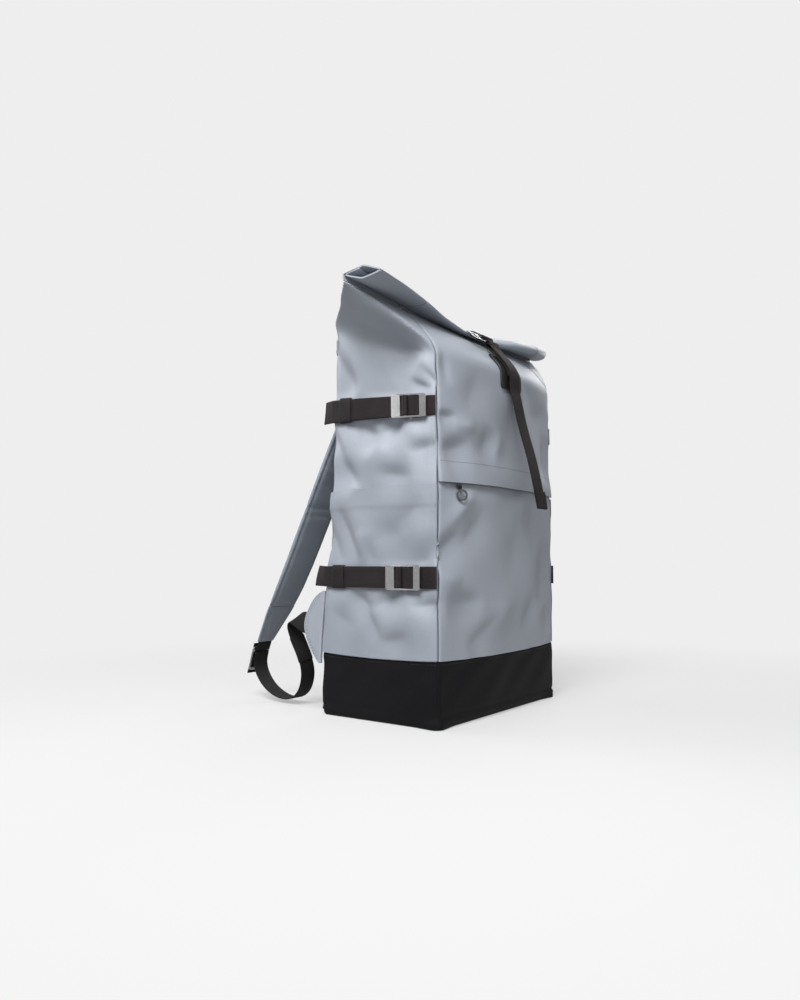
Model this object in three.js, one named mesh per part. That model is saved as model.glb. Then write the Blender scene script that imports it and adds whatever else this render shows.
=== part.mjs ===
// Rolltop backpack standing on its base: a coated cloth body with a black base, a rolled and hooked top,
// two cinch straps on each side, slip pockets, a front pocket under a flap, and padded shoulder straps.
// Millimetres. The origin is the middle of the base's underside, +Z is up, the front faces -Y,
// the wearer's back is towards +Y, and +X is the bag's right-hand side as seen from the front.
import * as THREE from "three";
import { mergeVertices } from "three/addons/utils/BufferGeometryUtils.js";

// Body sizes
const bodyWidth = 290;
const bodyDepth = 165;
const creaseHeight = 503;
const baseHeight = 74.5;
const pocketHeight = 277;
const flapHemHeight = 279;
const seamGap = 0.6;
const clothThickness = 1.6;
const baseThickness = 2;
const mouthSag = 19;
const mouthBow = 27;
const frontBulge = 15.5;
const sideBulge = 7;
const backBulge = 6;
const flapStandOff = 2.6;

// Webbing and metal sizes
const webbingWidth = 25;
const webbingThickness = 1.5;
const layGap = 0.6;
const layerGap = 0.35;
const upperStrapHeight = 371;
const lowerStrapHeight = 170;
const buckleLength = 45;
const buckleHeight = 29;
const buckleThickness = 2.2;
const tailOverhang = 14;
const keeperLength = 20;

// Rolled mouth
const rollWrapGap = 0.6;
const rollClothThickness = 1.6;
const rollTurns = 1.2;

// Hook, front strap and its patch
const hookLength = 64;
const hookHeight = 15;
const hookThickness = 2.2;
const hookTilt = 44;
const patchWidth = 52;
const patchLength = 48;
const patchThickness = 1.8;

// Shoulder straps
const strapPadThickness = 9;
const strapPadWidth = 57;
const strapAnchorX = 52;
const strapLowX = 101;
const triglideLength = 34;
const triglideWidth = 31;
const triglideThickness = 2.2;
const wingReach = 39;
const wingThickness = 3;

const colours = {
  cloth: 0xaab1bd,
  base: 0x1b1a1e,
  webbing: 0x2f282a,
  silver: 0xb9bbbf,
  gunmetal: 0x2a2b30,
  patch: 0x151416,
};

const degrees = Math.PI / 180;
const seamInsetShare = 0.215;
const numericStep = 0.25;

// Cross-sections of the body from the floor to the mouth. Heights are shares of the crease height, the
// front and back corners are shares of the body's depth from its middle, the half width is a share of
// the body's width, the corner radius and lift are in shares of the depth, and bulge, tilt and mouth are
// how much of the named bulges, of the backward rise of the panels and of the closed mouth's shape is
// reached. Lift is how much higher the cloth is at the back edge than at the front.
const sections = [
  { height: 0.0, front: -0.496, back: 0.535, halfWidth: 0.494, corner: 0.04, bulge: 0.0, tilt: 0, lift: 0, mouth: 0 },
  { height: 0.006, front: -0.505, back: 0.545, halfWidth: 0.5, corner: 0.045, bulge: 0.1, tilt: 0, lift: 0, mouth: 0 },
  { height: 0.02, front: -0.509, back: 0.549, halfWidth: 0.502, corner: 0.045, bulge: 0.2, tilt: 0, lift: 0, mouth: 0 },
  { height: 0.148, front: -0.509, back: 0.546, halfWidth: 0.502, corner: 0.045, bulge: 0.5, tilt: 0, lift: 0, mouth: 0 },
  { height: 0.3, front: -0.512, back: 0.508, halfWidth: 0.502, corner: 0.045, bulge: 0.85, tilt: 0, lift: 0, mouth: 0 },
  { height: 0.58, front: -0.512, back: 0.464, halfWidth: 0.502, corner: 0.045, bulge: 1.0, tilt: 0, lift: 0, mouth: 0 },
  { height: 0.74, front: -0.506, back: 0.448, halfWidth: 0.502, corner: 0.045, bulge: 1.05, tilt: 0.3, lift: 0, mouth: 0 },
  { height: 0.885, front: -0.502, back: 0.444, halfWidth: 0.502, corner: 0.045, bulge: 1.05, tilt: 1.0, lift: 0.165, mouth: 0.02 },
  { height: 0.92, front: -0.39, back: 0.312, halfWidth: 0.575, corner: 0.04, bulge: 0.9, tilt: 0.9, lift: 0.125, mouth: 0.26 },
  { height: 0.948, front: -0.288, back: 0.186, halfWidth: 0.645, corner: 0.03, bulge: 0.65, tilt: 0.65, lift: 0.08, mouth: 0.5 },
  { height: 0.975, front: -0.186, back: 0.062, halfWidth: 0.714, corner: 0.02, bulge: 0.3, tilt: 0.35, lift: 0.03, mouth: 0.76 },
  { height: 1.0, front: -0.0855, back: -0.0625, halfWidth: 0.7845, corner: 0.0115, bulge: 0.0, tilt: 0, lift: 0, mouth: 1 },
];
const panelTilt = 0.16;

// Folds and dents pressed into the cloth. The panel and the share across it and the share of the crease
// height say where the middle is; length and width are shares of the body's depth, depth is in
// millimetres inwards, and the angle is measured from level.
const folds = [
  { panel: "left", across: 0.4, height: 0.945, length: 0.56, width: 0.16, angle: -18, depth: 5 },
  { panel: "left", across: 0.3, height: 0.865, length: 0.6, width: 0.1, angle: -38, depth: 3 },
  { panel: "left", across: 0.3, height: 0.79, length: 0.3, width: 0.11, angle: 70, depth: 3 },
  { panel: "left", across: 0.68, height: 0.8, length: 0.32, width: 0.12, angle: 35, depth: 3 },
  { panel: "left", across: 0.5, height: 0.66, length: 0.36, width: 0.13, angle: 20, depth: 3 },
  { panel: "left", across: 0.2, height: 0.64, length: 0.3, width: 0.1, angle: 60, depth: 2.5 },
  { panel: "left", across: 0.82, height: 0.68, length: 0.26, width: 0.1, angle: -50, depth: 3 },
  { panel: "left", across: 0.3, height: 0.42, length: 0.34, width: 0.12, angle: 65, depth: 2.5 },
  { panel: "left", across: 0.78, height: 0.41, length: 0.3, width: 0.1, angle: 80, depth: 2.5 },
  { panel: "left", across: 0.45, height: 0.25, length: 0.36, width: 0.12, angle: -40, depth: 2.5 },
  { panel: "left", across: 0.75, height: 0.24, length: 0.26, width: 0.1, angle: 55, depth: 2 },
  { panel: "right", across: 0.4, height: 0.945, length: 0.6, width: 0.16, angle: -18, depth: 5 },
  { panel: "right", across: 0.34, height: 0.8, length: 0.34, width: 0.12, angle: 60, depth: 3 },
  { panel: "right", across: 0.68, height: 0.66, length: 0.36, width: 0.13, angle: -25, depth: 3 },
  { panel: "right", across: 0.3, height: 0.64, length: 0.3, width: 0.1, angle: 50, depth: 2.5 },
  { panel: "right", across: 0.4, height: 0.43, length: 0.34, width: 0.12, angle: 70, depth: 2.5 },
  { panel: "right", across: 0.6, height: 0.25, length: 0.34, width: 0.12, angle: 40, depth: 2.5 },
  { panel: "front", across: 0.24, height: 0.8, length: 0.5, width: 0.16, angle: 62, depth: 3 },
  { panel: "front", across: 0.8, height: 0.72, length: 0.5, width: 0.16, angle: 100, depth: 3 },
  { panel: "front", across: 0.2, height: 0.42, length: 0.4, width: 0.14, angle: 75, depth: 2.5 },
  { panel: "front", across: 0.68, height: 0.3, length: 0.5, width: 0.16, angle: 35, depth: 3 },
  { panel: "back", across: 0.5, height: 0.5, length: 0.9, width: 0.2, angle: 90, depth: 3 },
  { panel: "back", across: 0.25, height: 0.7, length: 0.5, width: 0.14, angle: 60, depth: 2.5 },
  { panel: "back", across: 0.78, height: 0.32, length: 0.5, width: 0.14, angle: 110, depth: 2.5 },
];

// The rolled mouth from its left end to its right. Along is the share of the half length of the mouth,
// y and z place the roll's middle from the crease line, width and height are its size there, droop is how
// far in degrees its front edge leans down, and flatness is low where its corners are full.
const rollSections = [
  { along: -1.0, y: -27, z: 7.2, width: 57, height: 15.5, droop: 0, flatness: 1.3 },
  { along: -0.86, y: -26, z: 4.6, width: 52, height: 14, droop: 3, flatness: 1.15 },
  { along: -0.64, y: -21.5, z: 1.6, width: 44, height: 12, droop: 9, flatness: 1 },
  { along: -0.4, y: -15.5, z: -1.2, width: 34, height: 9.5, droop: 16, flatness: 0.9 },
  { along: -0.16, y: -11.5, z: -1.8, width: 27, height: 8, droop: 22, flatness: 0.85 },
  { along: 0, y: -11, z: -1.4, width: 26, height: 7.5, droop: 24, flatness: 0.85 },
  { along: 0.12, y: -11.5, z: 0.4, width: 27, height: 10, droop: 24, flatness: 0.8 },
  { along: 0.34, y: -15.5, z: 4, width: 38, height: 16, droop: 18, flatness: 0.8 },
  { along: 0.64, y: -18, z: 6.5, width: 44, height: 19, droop: 12, flatness: 0.8 },
  { along: 0.86, y: -15, z: 9, width: 38, height: 20, droop: 8, flatness: 0.8 },
  { along: 1.0, y: -12, z: 10, width: 32, height: 19, droop: 4, flatness: 0.8 },
];

// One smooth value from a table's column, with no overshoot between rows
function columnAt(rows, key, name, at) {
  const last = rows.length - 1;
  const clamped = Math.min(Math.max(at, rows[0][key]), rows[last][key]);
  let row = 0;
  while (row < last - 1 && clamped > rows[row + 1][key]) {
    row += 1;
  }
  const slopeOf = (i) => (rows[i + 1][name] - rows[i][name]) / (rows[i + 1][key] - rows[i][key]);
  const tangentOf = (i) => {
    if (i === 0 || i === last) {
      return slopeOf(i === 0 ? 0 : last - 1);
    }
    const before = slopeOf(i - 1);
    const after = slopeOf(i);
    return before * after <= 0 ? 0 : (2 * before * after) / (before + after);
  };
  const span = rows[row + 1][key] - rows[row][key];
  const t = (clamped - rows[row][key]) / span;
  const t2 = t * t;
  const t3 = t2 * t;
  return (
    (2 * t3 - 3 * t2 + 1) * rows[row][name] +
    (t3 - 2 * t2 + t) * span * tangentOf(row) +
    (3 * t2 - 2 * t3) * rows[row + 1][name] +
    (t3 - t2) * span * tangentOf(row + 1)
  );
}

function sectionAt(height) {
  const share = height / creaseHeight;
  const read = (name) => columnAt(sections, "height", name, share);
  const front = read("front") * bodyDepth;
  const back = read("back") * bodyDepth;
  return {
    front,
    back,
    halfWidth: read("halfWidth") * bodyWidth,
    corner: Math.min(read("corner") * bodyDepth, (back - front) / 2 - 0.01),
    bulge: read("bulge"),
    tilt: read("tilt") * panelTilt,
    lift: read("lift") * bodyDepth,
    mouth: read("mouth"),
  };
}

// Length of the section's outline from the middle of the front to the middle of the back
function halfOutline(section) {
  const straight = 2 * (section.halfWidth - section.corner) + (section.back - section.front - 2 * section.corner);
  return straight + Math.PI * section.corner;
}

// Where the front corner seam and the back corner seam lie on that outline
function seamAlong(section, which) {
  const fromMiddle = Math.min(section.halfWidth, bodyWidth / 2) - seamInsetShare * section.corner;
  return which === "front" ? fromMiddle : halfOutline(section) - fromMiddle;
}

// A point of the plain rounded section, with its outward normal and the bulge it carries
function sectionPoint(section, along) {
  const side = along < 0 ? 1 : -1;
  const distance = Math.abs(along);
  const { halfWidth, front, back, corner } = section;
  const cornerArc = (Math.PI / 2) * corner;
  const frontRun = halfWidth - corner;
  const sideRun = back - front - 2 * corner;
  const swell = (share, power) => 1 - Math.pow(Math.min(Math.abs(share), 1), power);
  let x, y, nx, ny;
  let swollen = 0;
  let rest = distance;
  if (rest <= frontRun) {
    [x, y, nx, ny] = [rest, front, 0, -1];
    swollen = frontBulge * swell(rest / (frontRun + cornerArc / 2), 2.2);
  } else if ((rest -= frontRun) <= cornerArc) {
    const turn = rest / corner;
    [nx, ny] = [Math.sin(turn), -Math.cos(turn)];
    [x, y] = [frontRun + corner * nx, front + corner + corner * ny];
    const middleShare = (frontRun + rest) / (frontRun + cornerArc / 2);
    const sideShare = (sideRun / 2 + cornerArc - rest) / (sideRun / 2 + cornerArc / 2);
    swollen = frontBulge * swell(middleShare, 2.2) + sideBulge * swell(sideShare, 2);
  } else if ((rest -= cornerArc) <= sideRun) {
    [x, y, nx, ny] = [halfWidth, front + corner + rest, 1, 0];
    swollen = sideBulge * swell((rest - sideRun / 2) / (sideRun / 2 + cornerArc / 2), 2);
  } else if ((rest -= sideRun) <= cornerArc) {
    const turn = rest / corner;
    [nx, ny] = [Math.cos(turn), Math.sin(turn)];
    [x, y] = [frontRun + corner * nx, back - corner + corner * ny];
    const sideShare = (sideRun / 2 + rest) / (sideRun / 2 + cornerArc / 2);
    const middleShare = (frontRun + cornerArc - rest) / (frontRun + cornerArc / 2);
    swollen = backBulge * swell(middleShare, 2.2) + sideBulge * swell(sideShare, 2);
  } else {
    rest -= cornerArc;
    [x, y, nx, ny] = [frontRun - rest, back, 0, 1];
    swollen = backBulge * swell((frontRun - rest) / (frontRun + cornerArc / 2), 2.2);
  }
  return { x: side * x, y, nx: side * nx, ny, swollen: swollen * section.bulge };
}

// The outline's start and end for a panel, as signed lengths from the middle of the front.
// The bag's left side has positive lengths.
function panelRange(panel, section) {
  const frontSeam = seamAlong(section, "front");
  const backSeam = seamAlong(section, "back");
  const whole = 2 * halfOutline(section);
  return {
    front: [-frontSeam, frontSeam],
    left: [frontSeam, backSeam],
    right: [-frontSeam, -backSeam],
    back: [backSeam, whole - backSeam],
  }[panel];
}

// The folds' own places, worked out once
const foldPlaces = folds.map((fold) => {
  const height = fold.height * creaseHeight;
  const [start, end] = panelRange(fold.panel, sectionAt(height));
  return {
    ...fold,
    along: start + (end - start) * fold.across,
    centre: height,
    half: (fold.length * bodyDepth) / 2,
    wide: (fold.width * bodyDepth) / 2,
    cos: Math.cos(fold.angle * degrees),
    sin: Math.sin(fold.angle * degrees),
  };
});

function foldDepth(along, height, whole) {
  let depth = 0;
  for (const place of foldPlaces) {
    let across = along - place.along;
    across -= whole * Math.round(across / whole);
    const up = height - place.centre;
    const lengthwise = (across * place.cos + up * place.sin) / place.half;
    const crosswise = (-across * place.sin + up * place.cos) / place.wide;
    if (Math.abs(lengthwise) < 1 && Math.abs(crosswise) < 3) {
      depth += place.depth * Math.pow(1 - lengthwise * lengthwise, 2) * Math.exp(-crosswise * crosswise);
    }
  }
  return depth;
}

// A point on the body's outer skin, without thickness
function skinPoint(along, height, folded) {
  const section = sectionAt(height);
  const half = halfOutline(section);
  let wrapped = along;
  while (wrapped > half) wrapped -= 2 * half;
  while (wrapped < -half) wrapped += 2 * half;
  const flat = sectionPoint(section, wrapped);
  const fadeOut = 1 - section.mouth;
  const out = flat.swollen - (folded ? fadeOut * foldDepth(wrapped, height, 2 * half) : 0);
  const inward = 1 - Math.pow(Math.min(Math.abs(flat.x) / section.halfWidth, 1), 2);
  const y = flat.y + flat.ny * out - mouthBow * section.mouth * inward;
  const middle = (section.front + section.back) / 2;
  const backShare = Math.max((flat.y - section.front) / (section.back - section.front), 0);
  const lifted = section.lift * backShare * backShare;
  const z = height + section.tilt * (y - middle) + lifted - mouthSag * section.mouth * inward;
  return new THREE.Vector3(flat.x + flat.nx * out, y, z);
}

function skinNormal(along, height, folded) {
  const acrossStep = skinPoint(along + numericStep, height, folded);
  acrossStep.sub(skinPoint(along - numericStep, height, folded));
  const upStep = skinPoint(along, Math.min(height + numericStep, creaseHeight), folded);
  upStep.sub(skinPoint(along, Math.max(height - numericStep, 0), folded));
  return upStep.cross(acrossStep).normalize();
}

function skinOffset(along, height, offset, folded = true) {
  const point = skinPoint(along, height, folded);
  return point.addScaledVector(skinNormal(along, height, folded), offset);
}

// Wraps positions and triangles as a closed geometry with its faces pointing out
function closedGeometry(positions, triangles) {
  let volume = 0;
  const corner = [new THREE.Vector3(), new THREE.Vector3(), new THREE.Vector3()];
  for (let i = 0; i < triangles.length; i += 3) {
    corner.forEach((vector, k) => vector.copy(positions[triangles[i + k]]));
    volume += corner[0].dot(corner[1].clone().cross(corner[2]));
  }
  const ordered = volume > 0 ? triangles : triangles.map((_, i) => triangles[i - (i % 3) + [0, 2, 1][i % 3]]);
  const geometry = new THREE.BufferGeometry();
  geometry.setAttribute("position", new THREE.Float32BufferAttribute(positions.flatMap((p) => p.toArray()), 3));
  geometry.setIndex(ordered);
  geometry.computeVertexNormals();
  return geometry;
}

// A sheet with thickness from two grids of points of the same size
function sheetSolid(outer, inner) {
  const rows = outer.length;
  const columns = outer[0].length;
  const positions = [...outer.flat(), ...inner.flat()];
  const at = (side, i, j) => side * rows * columns + i * columns + j;
  const triangles = [];
  const quad = (a, b, c, d) => triangles.push(a, b, c, a, c, d);
  for (let i = 0; i < rows - 1; i += 1) {
    for (let j = 0; j < columns - 1; j += 1) {
      quad(at(0, i, j), at(0, i, j + 1), at(0, i + 1, j + 1), at(0, i + 1, j));
      quad(at(1, i, j), at(1, i + 1, j), at(1, i + 1, j + 1), at(1, i, j + 1));
    }
  }
  for (let i = 0; i < rows - 1; i += 1) {
    quad(at(0, i, 0), at(0, i + 1, 0), at(1, i + 1, 0), at(1, i, 0));
    quad(at(0, i + 1, columns - 1), at(0, i, columns - 1), at(1, i, columns - 1), at(1, i + 1, columns - 1));
  }
  for (let j = 0; j < columns - 1; j += 1) {
    quad(at(0, 0, j + 1), at(0, 0, j), at(1, 0, j), at(1, 0, j + 1));
    quad(at(0, rows - 1, j), at(0, rows - 1, j + 1), at(1, rows - 1, j + 1), at(1, rows - 1, j));
  }
  return closedGeometry(positions, triangles);
}

// A solid through closed rings of points, capped at both ends by fans round the caps' middles
function ringSolid(rings, startMiddle, endMiddle) {
  const count = rings[0].length;
  const positions = [...rings.flat(), startMiddle, endMiddle];
  const startIndex = positions.length - 2;
  const endIndex = positions.length - 1;
  const triangles = [];
  rings.slice(1).forEach((_, i) => {
    for (let j = 0; j < count; j += 1) {
      const next = (j + 1) % count;
      const [a, b] = [i * count + j, i * count + next];
      triangles.push(a, b, b + count, a, b + count, a + count);
    }
  });
  const lastRing = (rings.length - 1) * count;
  for (let j = 0; j < count; j += 1) {
    const next = (j + 1) % count;
    triangles.push(startIndex, next, j, endIndex, lastRing + j, lastRing + next);
  }
  return closedGeometry(positions, triangles);
}

// Both faces of a flat band that follows a path of [first, second] pairs, half a thickness to each side
function bandFaces(path, thickness) {
  const unit = (a, b) => {
    const [u, v] = [b[0] - a[0], b[1] - a[1]];
    const size = Math.hypot(u, v);
    return [u / size, v / size];
  };
  const faces = [[], []];
  path.forEach((point, i) => {
    const before = unit(path[Math.max(i - 1, 0)], path[Math.max(i, 1)]);
    const after = unit(path[Math.min(i, path.length - 2)], path[Math.min(i + 1, path.length - 1)]);
    const bisector = [before[0] + after[0], before[1] + after[1]];
    const size = Math.hypot(...bisector);
    const normal = [-bisector[1] / size, bisector[0] / size];
    const reach = thickness / size;
    faces[0].push([point[0] + normal[0] * reach, point[1] + normal[1] * reach]);
    faces[1].push([point[0] - normal[0] * reach, point[1] - normal[1] * reach]);
  });
  return faces;
}

// A band of webbing: a path in a plane, carried across its width by a placing function
function bandSolid(path, thickness, width, place, strips = 1) {
  const faces = bandFaces(path, thickness);
  const across = Array.from({ length: strips + 1 }, (_, i) => width * (i / strips - 0.5));
  const [outer, inner] = faces.map((face) => face.map(([u, v]) => across.map((w) => place(u, v, w))));
  return sheetSolid(outer, inner);
}

// Half a turn about a bar, as path points from one side of it to the other
function halfTurn(centre, radius, startAngle, sweep, steps = 5) {
  return Array.from({ length: steps + 1 }, (_, i) => {
    const angle = (startAngle + (sweep * i) / steps) * degrees;
    return [centre[0] + radius * Math.cos(angle), centre[1] + radius * Math.sin(angle)];
  });
}

// A flat plate with windows, in u along, v across and w through its thickness, placed by a function
function plateSolid(outline, windows, low, high, place, curveSegments = 1) {
  outline.holes = windows;
  const flat = new THREE.ExtrudeGeometry(outline, {
    depth: high - low,
    bevelEnabled: false,
    curveSegments,
  });
  flat.deleteAttribute("normal");
  flat.deleteAttribute("uv");
  const merged = mergeVertices(flat, 1e-4);
  const source = merged.getAttribute("position");
  const positions = Array.from({ length: source.count }, (_, i) =>
    place(source.getX(i), source.getY(i), low + source.getZ(i)),
  );
  return closedGeometry(positions, Array.from(merged.index.array));
}

function roundedRectangle(u0, v0, u1, v1, radius, PathType = THREE.Shape) {
  const shape = new PathType();
  shape.moveTo(u0 + radius, v0);
  shape.lineTo(u1 - radius, v0);
  shape.absarc(u1 - radius, v0 + radius, radius, -Math.PI / 2, 0, false);
  shape.lineTo(u1, v1 - radius);
  shape.absarc(u1 - radius, v1 - radius, radius, 0, Math.PI / 2, false);
  shape.lineTo(u0 + radius, v1);
  shape.absarc(u0 + radius, v1 - radius, radius, Math.PI / 2, Math.PI, false);
  shape.lineTo(u0, v0 + radius);
  shape.absarc(u0 + radius, v0 + radius, radius, Math.PI, 1.5 * Math.PI, false);
  return shape;
}

const window4 = (u0, v0, u1, v1, radius = 1) => roundedRectangle(u0, v0, u1, v1, radius, THREE.Path);

const group = new THREE.Group();

function addPiece(name, geometry, colour, roughness = 0.75, metalness = 0) {
  const material = new THREE.MeshStandardMaterial({ color: colour, roughness, metalness });
  const mesh = new THREE.Mesh(geometry, material);
  mesh.name = name;
  group.add(mesh);
}

// Height of the seam between the black base and the cloth panels: a little lower at the middle of a face
const baseSeamDip = 2;
function baseSeamHeight(share) {
  return baseHeight + baseSeamDip * (Math.pow(2 * Math.abs(share - 0.5), 2) - 0.5);
}

// Heights of the panels' rows, shared by all panels so that they meet row by row at their seams,
// and closer together near the mouth, where the section changes most
const levelCount = 22;
const levelLift = 0.4;
const bodyLevels = Array.from({ length: levelCount - 1 }, (_, i) => {
  const t = (i + 1) / levelCount;
  const share = t + (levelLift * Math.sin(Math.PI * t)) / Math.PI;
  return baseHeight + (creaseHeight - baseHeight) * share;
});
const levelClearance = 4;

// Where the middle of the front corner's curve lies on the outline. It leaves the seam above the
// shoulder and becomes the ridge that runs out to the mouth's end.
function ridgeAlong(section) {
  return section.halfWidth - section.corner + (Math.PI * section.corner) / 4;
}

// Columns of a panel as shares of its width. On a side some lie between each seam and its ridge, and
// the rest between the two ridges, so that the mesh has an edge on each ridge.
const panelColumns = { front: 10, left: 10, back: 10, right: 10 };
const ridgeColumns = 2;
const ridgeMinimum = 8;
function columnShare(panel, column, section) {
  const columns = panelColumns[panel];
  if (panel === "front" || panel === "back") {
    return column / columns;
  }
  const length = seamAlong(section, "back") - seamAlong(section, "front");
  const reach = Math.max(ridgeAlong(section) - seamAlong(section, "front"), ridgeMinimum) / length;
  if (column <= ridgeColumns) {
    return (reach * column) / ridgeColumns;
  }
  if (column >= columns - ridgeColumns) {
    return 1 - (reach * (columns - column)) / ridgeColumns;
  }
  return reach + ((1 - 2 * reach) * (column - ridgeColumns)) / (columns - 2 * ridgeColumns);
}

// The inner faces of the panels stop this share of their thickness further from the seams
const innerTrimShare = 0.25;

// A panel of the body between two heights, each a function of the share across the panel
function bodyPanel(panel, low, high, outerOffset, thickness) {
  const columns = Array.from({ length: panelColumns[panel] + 1 }, (_, j) => j);
  const shares = columns.map((column) => column / panelColumns[panel]);
  const lowest = Math.max(...shares.map(low)) + levelClearance;
  const highest = Math.min(...shares.map(high)) - levelClearance;
  const between = bodyLevels.filter((level) => level > lowest && level < highest);
  const rows = [low, ...between.map((level) => () => level), high];
  const grid = (extra) =>
    rows.map((row) =>
      columns.map((column) => {
        const share = columnShare(panel, column, sectionAt(row(0.5)));
        const height = row(share);
        const [start, end] = panelRange(panel, sectionAt(height));
        const trim = Math.sign(end - start) * (seamGap / 2 + innerTrimShare * extra);
        const along = start + trim + (end - start - 2 * trim) * share;
        return skinOffset(along, height, outerOffset(height) - extra);
      }),
    );
  return sheetSolid(grid(0), grid(thickness));
}

const panelBottom = (share) => baseSeamHeight(share) + seamGap / 2;
const mouthTop = () => creaseHeight;

function addBody() {
  const flush = () => 0;
  addPiece("back_panel", bodyPanel("back", panelBottom, mouthTop, flush, clothThickness), colours.cloth);
  for (const side of ["left", "right"]) {
    const panel = bodyPanel(side, panelBottom, mouthTop, flush, clothThickness);
    addPiece(`side_panel_${side}`, panel, colours.cloth);
    const pocketOuter = layGap + clothThickness;
    const hem = (share) => pocketHeight - 3 * share * share;
    const low = (share) => panelBottom(share) + 1;
    const pocket = bodyPanel(side, low, hem, () => pocketOuter, clothThickness);
    addPiece(`side_pocket_${side}`, pocket, colours.cloth);
  }
  // The front pocket's top edge dips inwards, so that the flap passes over it
  const dipStart = flapHemHeight - 22;
  const dipEnd = flapHemHeight + 12;
  const dip = (height) => -3.4 * THREE.MathUtils.smoothstep(height, dipStart, dipEnd);
  const pocketTop = () => dipEnd;
  const lower = bodyPanel("front", panelBottom, pocketTop, dip, clothThickness);
  addPiece("front_pocket", lower, colours.cloth);
  // The flap's hem stands off, and the panel above it lies in the body's skin
  const hemReach = 42;
  const standOff = (height) => flapStandOff * (1 - THREE.MathUtils.smoothstep(height, flapHemHeight, flapHemHeight + hemReach));
  const hemLine = (share) => flapHemHeight + 1.5 * Math.sin(Math.PI * share);
  const upper = bodyPanel("front", hemLine, mouthTop, standOff, clothThickness);
  addPiece("front_flap_panel", upper, colours.cloth);
}

// The base is one tub: walls up to the seam and a floor
function addBase() {
  const ring = (heightOf, offset) => {
    const points = [];
    for (const panel of ["front", "left", "back", "right"]) {
      for (let j = 0; j < panelColumns[panel]; j += 1) {
        const column = panel === "right" ? panelColumns[panel] - j : j;
        const share = columnShare(panel, column, sectionAt(heightOf(0.5)));
        const height = heightOf(share);
        const [start, end] = panelRange(panel, sectionAt(height));
        points.push(skinOffset(start + (end - start) * share, height, offset, false));
      }
    }
    return points;
  };
  const flatten = (points, z) => points.map((point) => new THREE.Vector3(point.x, point.y, z));
  const level = (share) => () => share * creaseHeight;
  const seamLine = (share) => baseSeamHeight(share) - seamGap / 2;
  const lowShares = [0.006, 0.02];
  const wallShares = [0.05, 0.1];
  const outerRings = [
    flatten(ring(level(0), 0), 0),
    ...[...lowShares, ...wallShares].map((share) => ring(level(share), 0)),
    ring(seamLine, 0),
  ];
  const innerRings = [
    ring(seamLine, -baseThickness),
    ...[...wallShares].reverse().map((share) => ring(level(share), -baseThickness)),
    flatten(ring(level(0.02), -baseThickness), 0.02 * creaseHeight),
    flatten(ring(level(0.006), -2 * baseThickness), baseThickness),
  ];
  const floor = new THREE.Vector3(0, 0, 0);
  const geometry = ringSolid([...outerRings, ...innerRings], floor, new THREE.Vector3(0, 0, baseThickness));
  addPiece("base", geometry, colours.base, 0.85);
}

// The crease line, where the front and back panels meet and the roll begins
function creaseAt(share) {
  const inward = 1 - share * share;
  const section = sectionAt(creaseHeight);
  return {
    x: share * section.halfWidth,
    y: (section.front + section.back) / 2 - mouthBow * inward,
    z: creaseHeight - mouthSag * inward,
  };
}

// The mouth's doubled cloth rolled forward: a flat spiral carried along the crease line
const rollLift = 0.5;
const rollStartAngle = 1.02;
const rollCoreHalf = 0.3;
const rollEndLift = 1.5;
function rollGrids() {
  const steps = 18;
  const stations = 16;
  const grids = [[], []];
  for (let k = 0; k <= stations; k += 1) {
    const share = -1 + (2 * k) / stations;
    const crease = creaseAt(share);
    const read = (name) => columnAt(rollSections, "along", name, share);
    const flatness = read("flatness");
    const path = [[crease.y, crease.z + rollLift + rollEndLift * Math.pow(share, 4)]];
    for (let i = 0; i <= steps; i += 1) {
      const t = i / steps;
      // The spiral starts low at the back, climbs over the top, drops down the front and turns under
      const angle = Math.PI * (rollStartAngle - 2 * rollTurns * t);
      const inset = t * rollTurns * (rollClothThickness + rollWrapGap);
      const halfWide = (read("width") - rollClothThickness) / 2 - inset;
      const halfHigh = Math.max((read("height") - rollClothThickness) / 2 - inset, rollCoreHalf);
      const cos = -Math.cos(angle);
      const sin = Math.sin(angle);
      const u = Math.sign(cos) * Math.pow(Math.abs(cos), flatness) * halfWide;
      const v = Math.sign(sin) * Math.pow(Math.abs(sin), flatness) * halfHigh;
      const droop = read("droop") * degrees;
      const y = crease.y + read("y") + u * Math.cos(droop) - v * Math.sin(droop);
      const z = crease.z + rollLift + read("z") + u * Math.sin(droop) + v * Math.cos(droop);
      path.push([y, z]);
    }
    const faces = bandFaces(path, rollClothThickness);
    faces.forEach((face, side) => grids[side].push(face.map(([y, z]) => new THREE.Vector3(crease.x, y, z))));
  }
  return grids;
}

function addRoll() {
  const [outer, inner] = rollGrids();
  addPiece("rolled_top", sheetSolid(outer, inner), colours.cloth);
}

// Places webbing and buckles on a side: t is measured backwards from the front corner seam, lift is
// the distance off the skin and rise is up from the strap's height. Past the back corner it runs straight.
function sidePlacer(side, strapHeight, baseLift) {
  const sign = side === "left" ? 1 : -1;
  const section = sectionAt(strapHeight);
  const [start, end] = panelRange("left", section);
  const straightEnd = end - start - section.corner * 0.8;
  return (t, lift, rise) => {
    const held = Math.min(t, straightEnd);
    const at = skinOffset(sign * (start + held), strapHeight + rise, baseLift + lift, false);
    if (t > held) {
      const back = skinOffset(sign * (start + held - 1), strapHeight + rise, baseLift + lift, false);
      at.addScaledVector(at.clone().sub(back).normalize(), t - held);
    }
    return at;
  };
}

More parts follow.
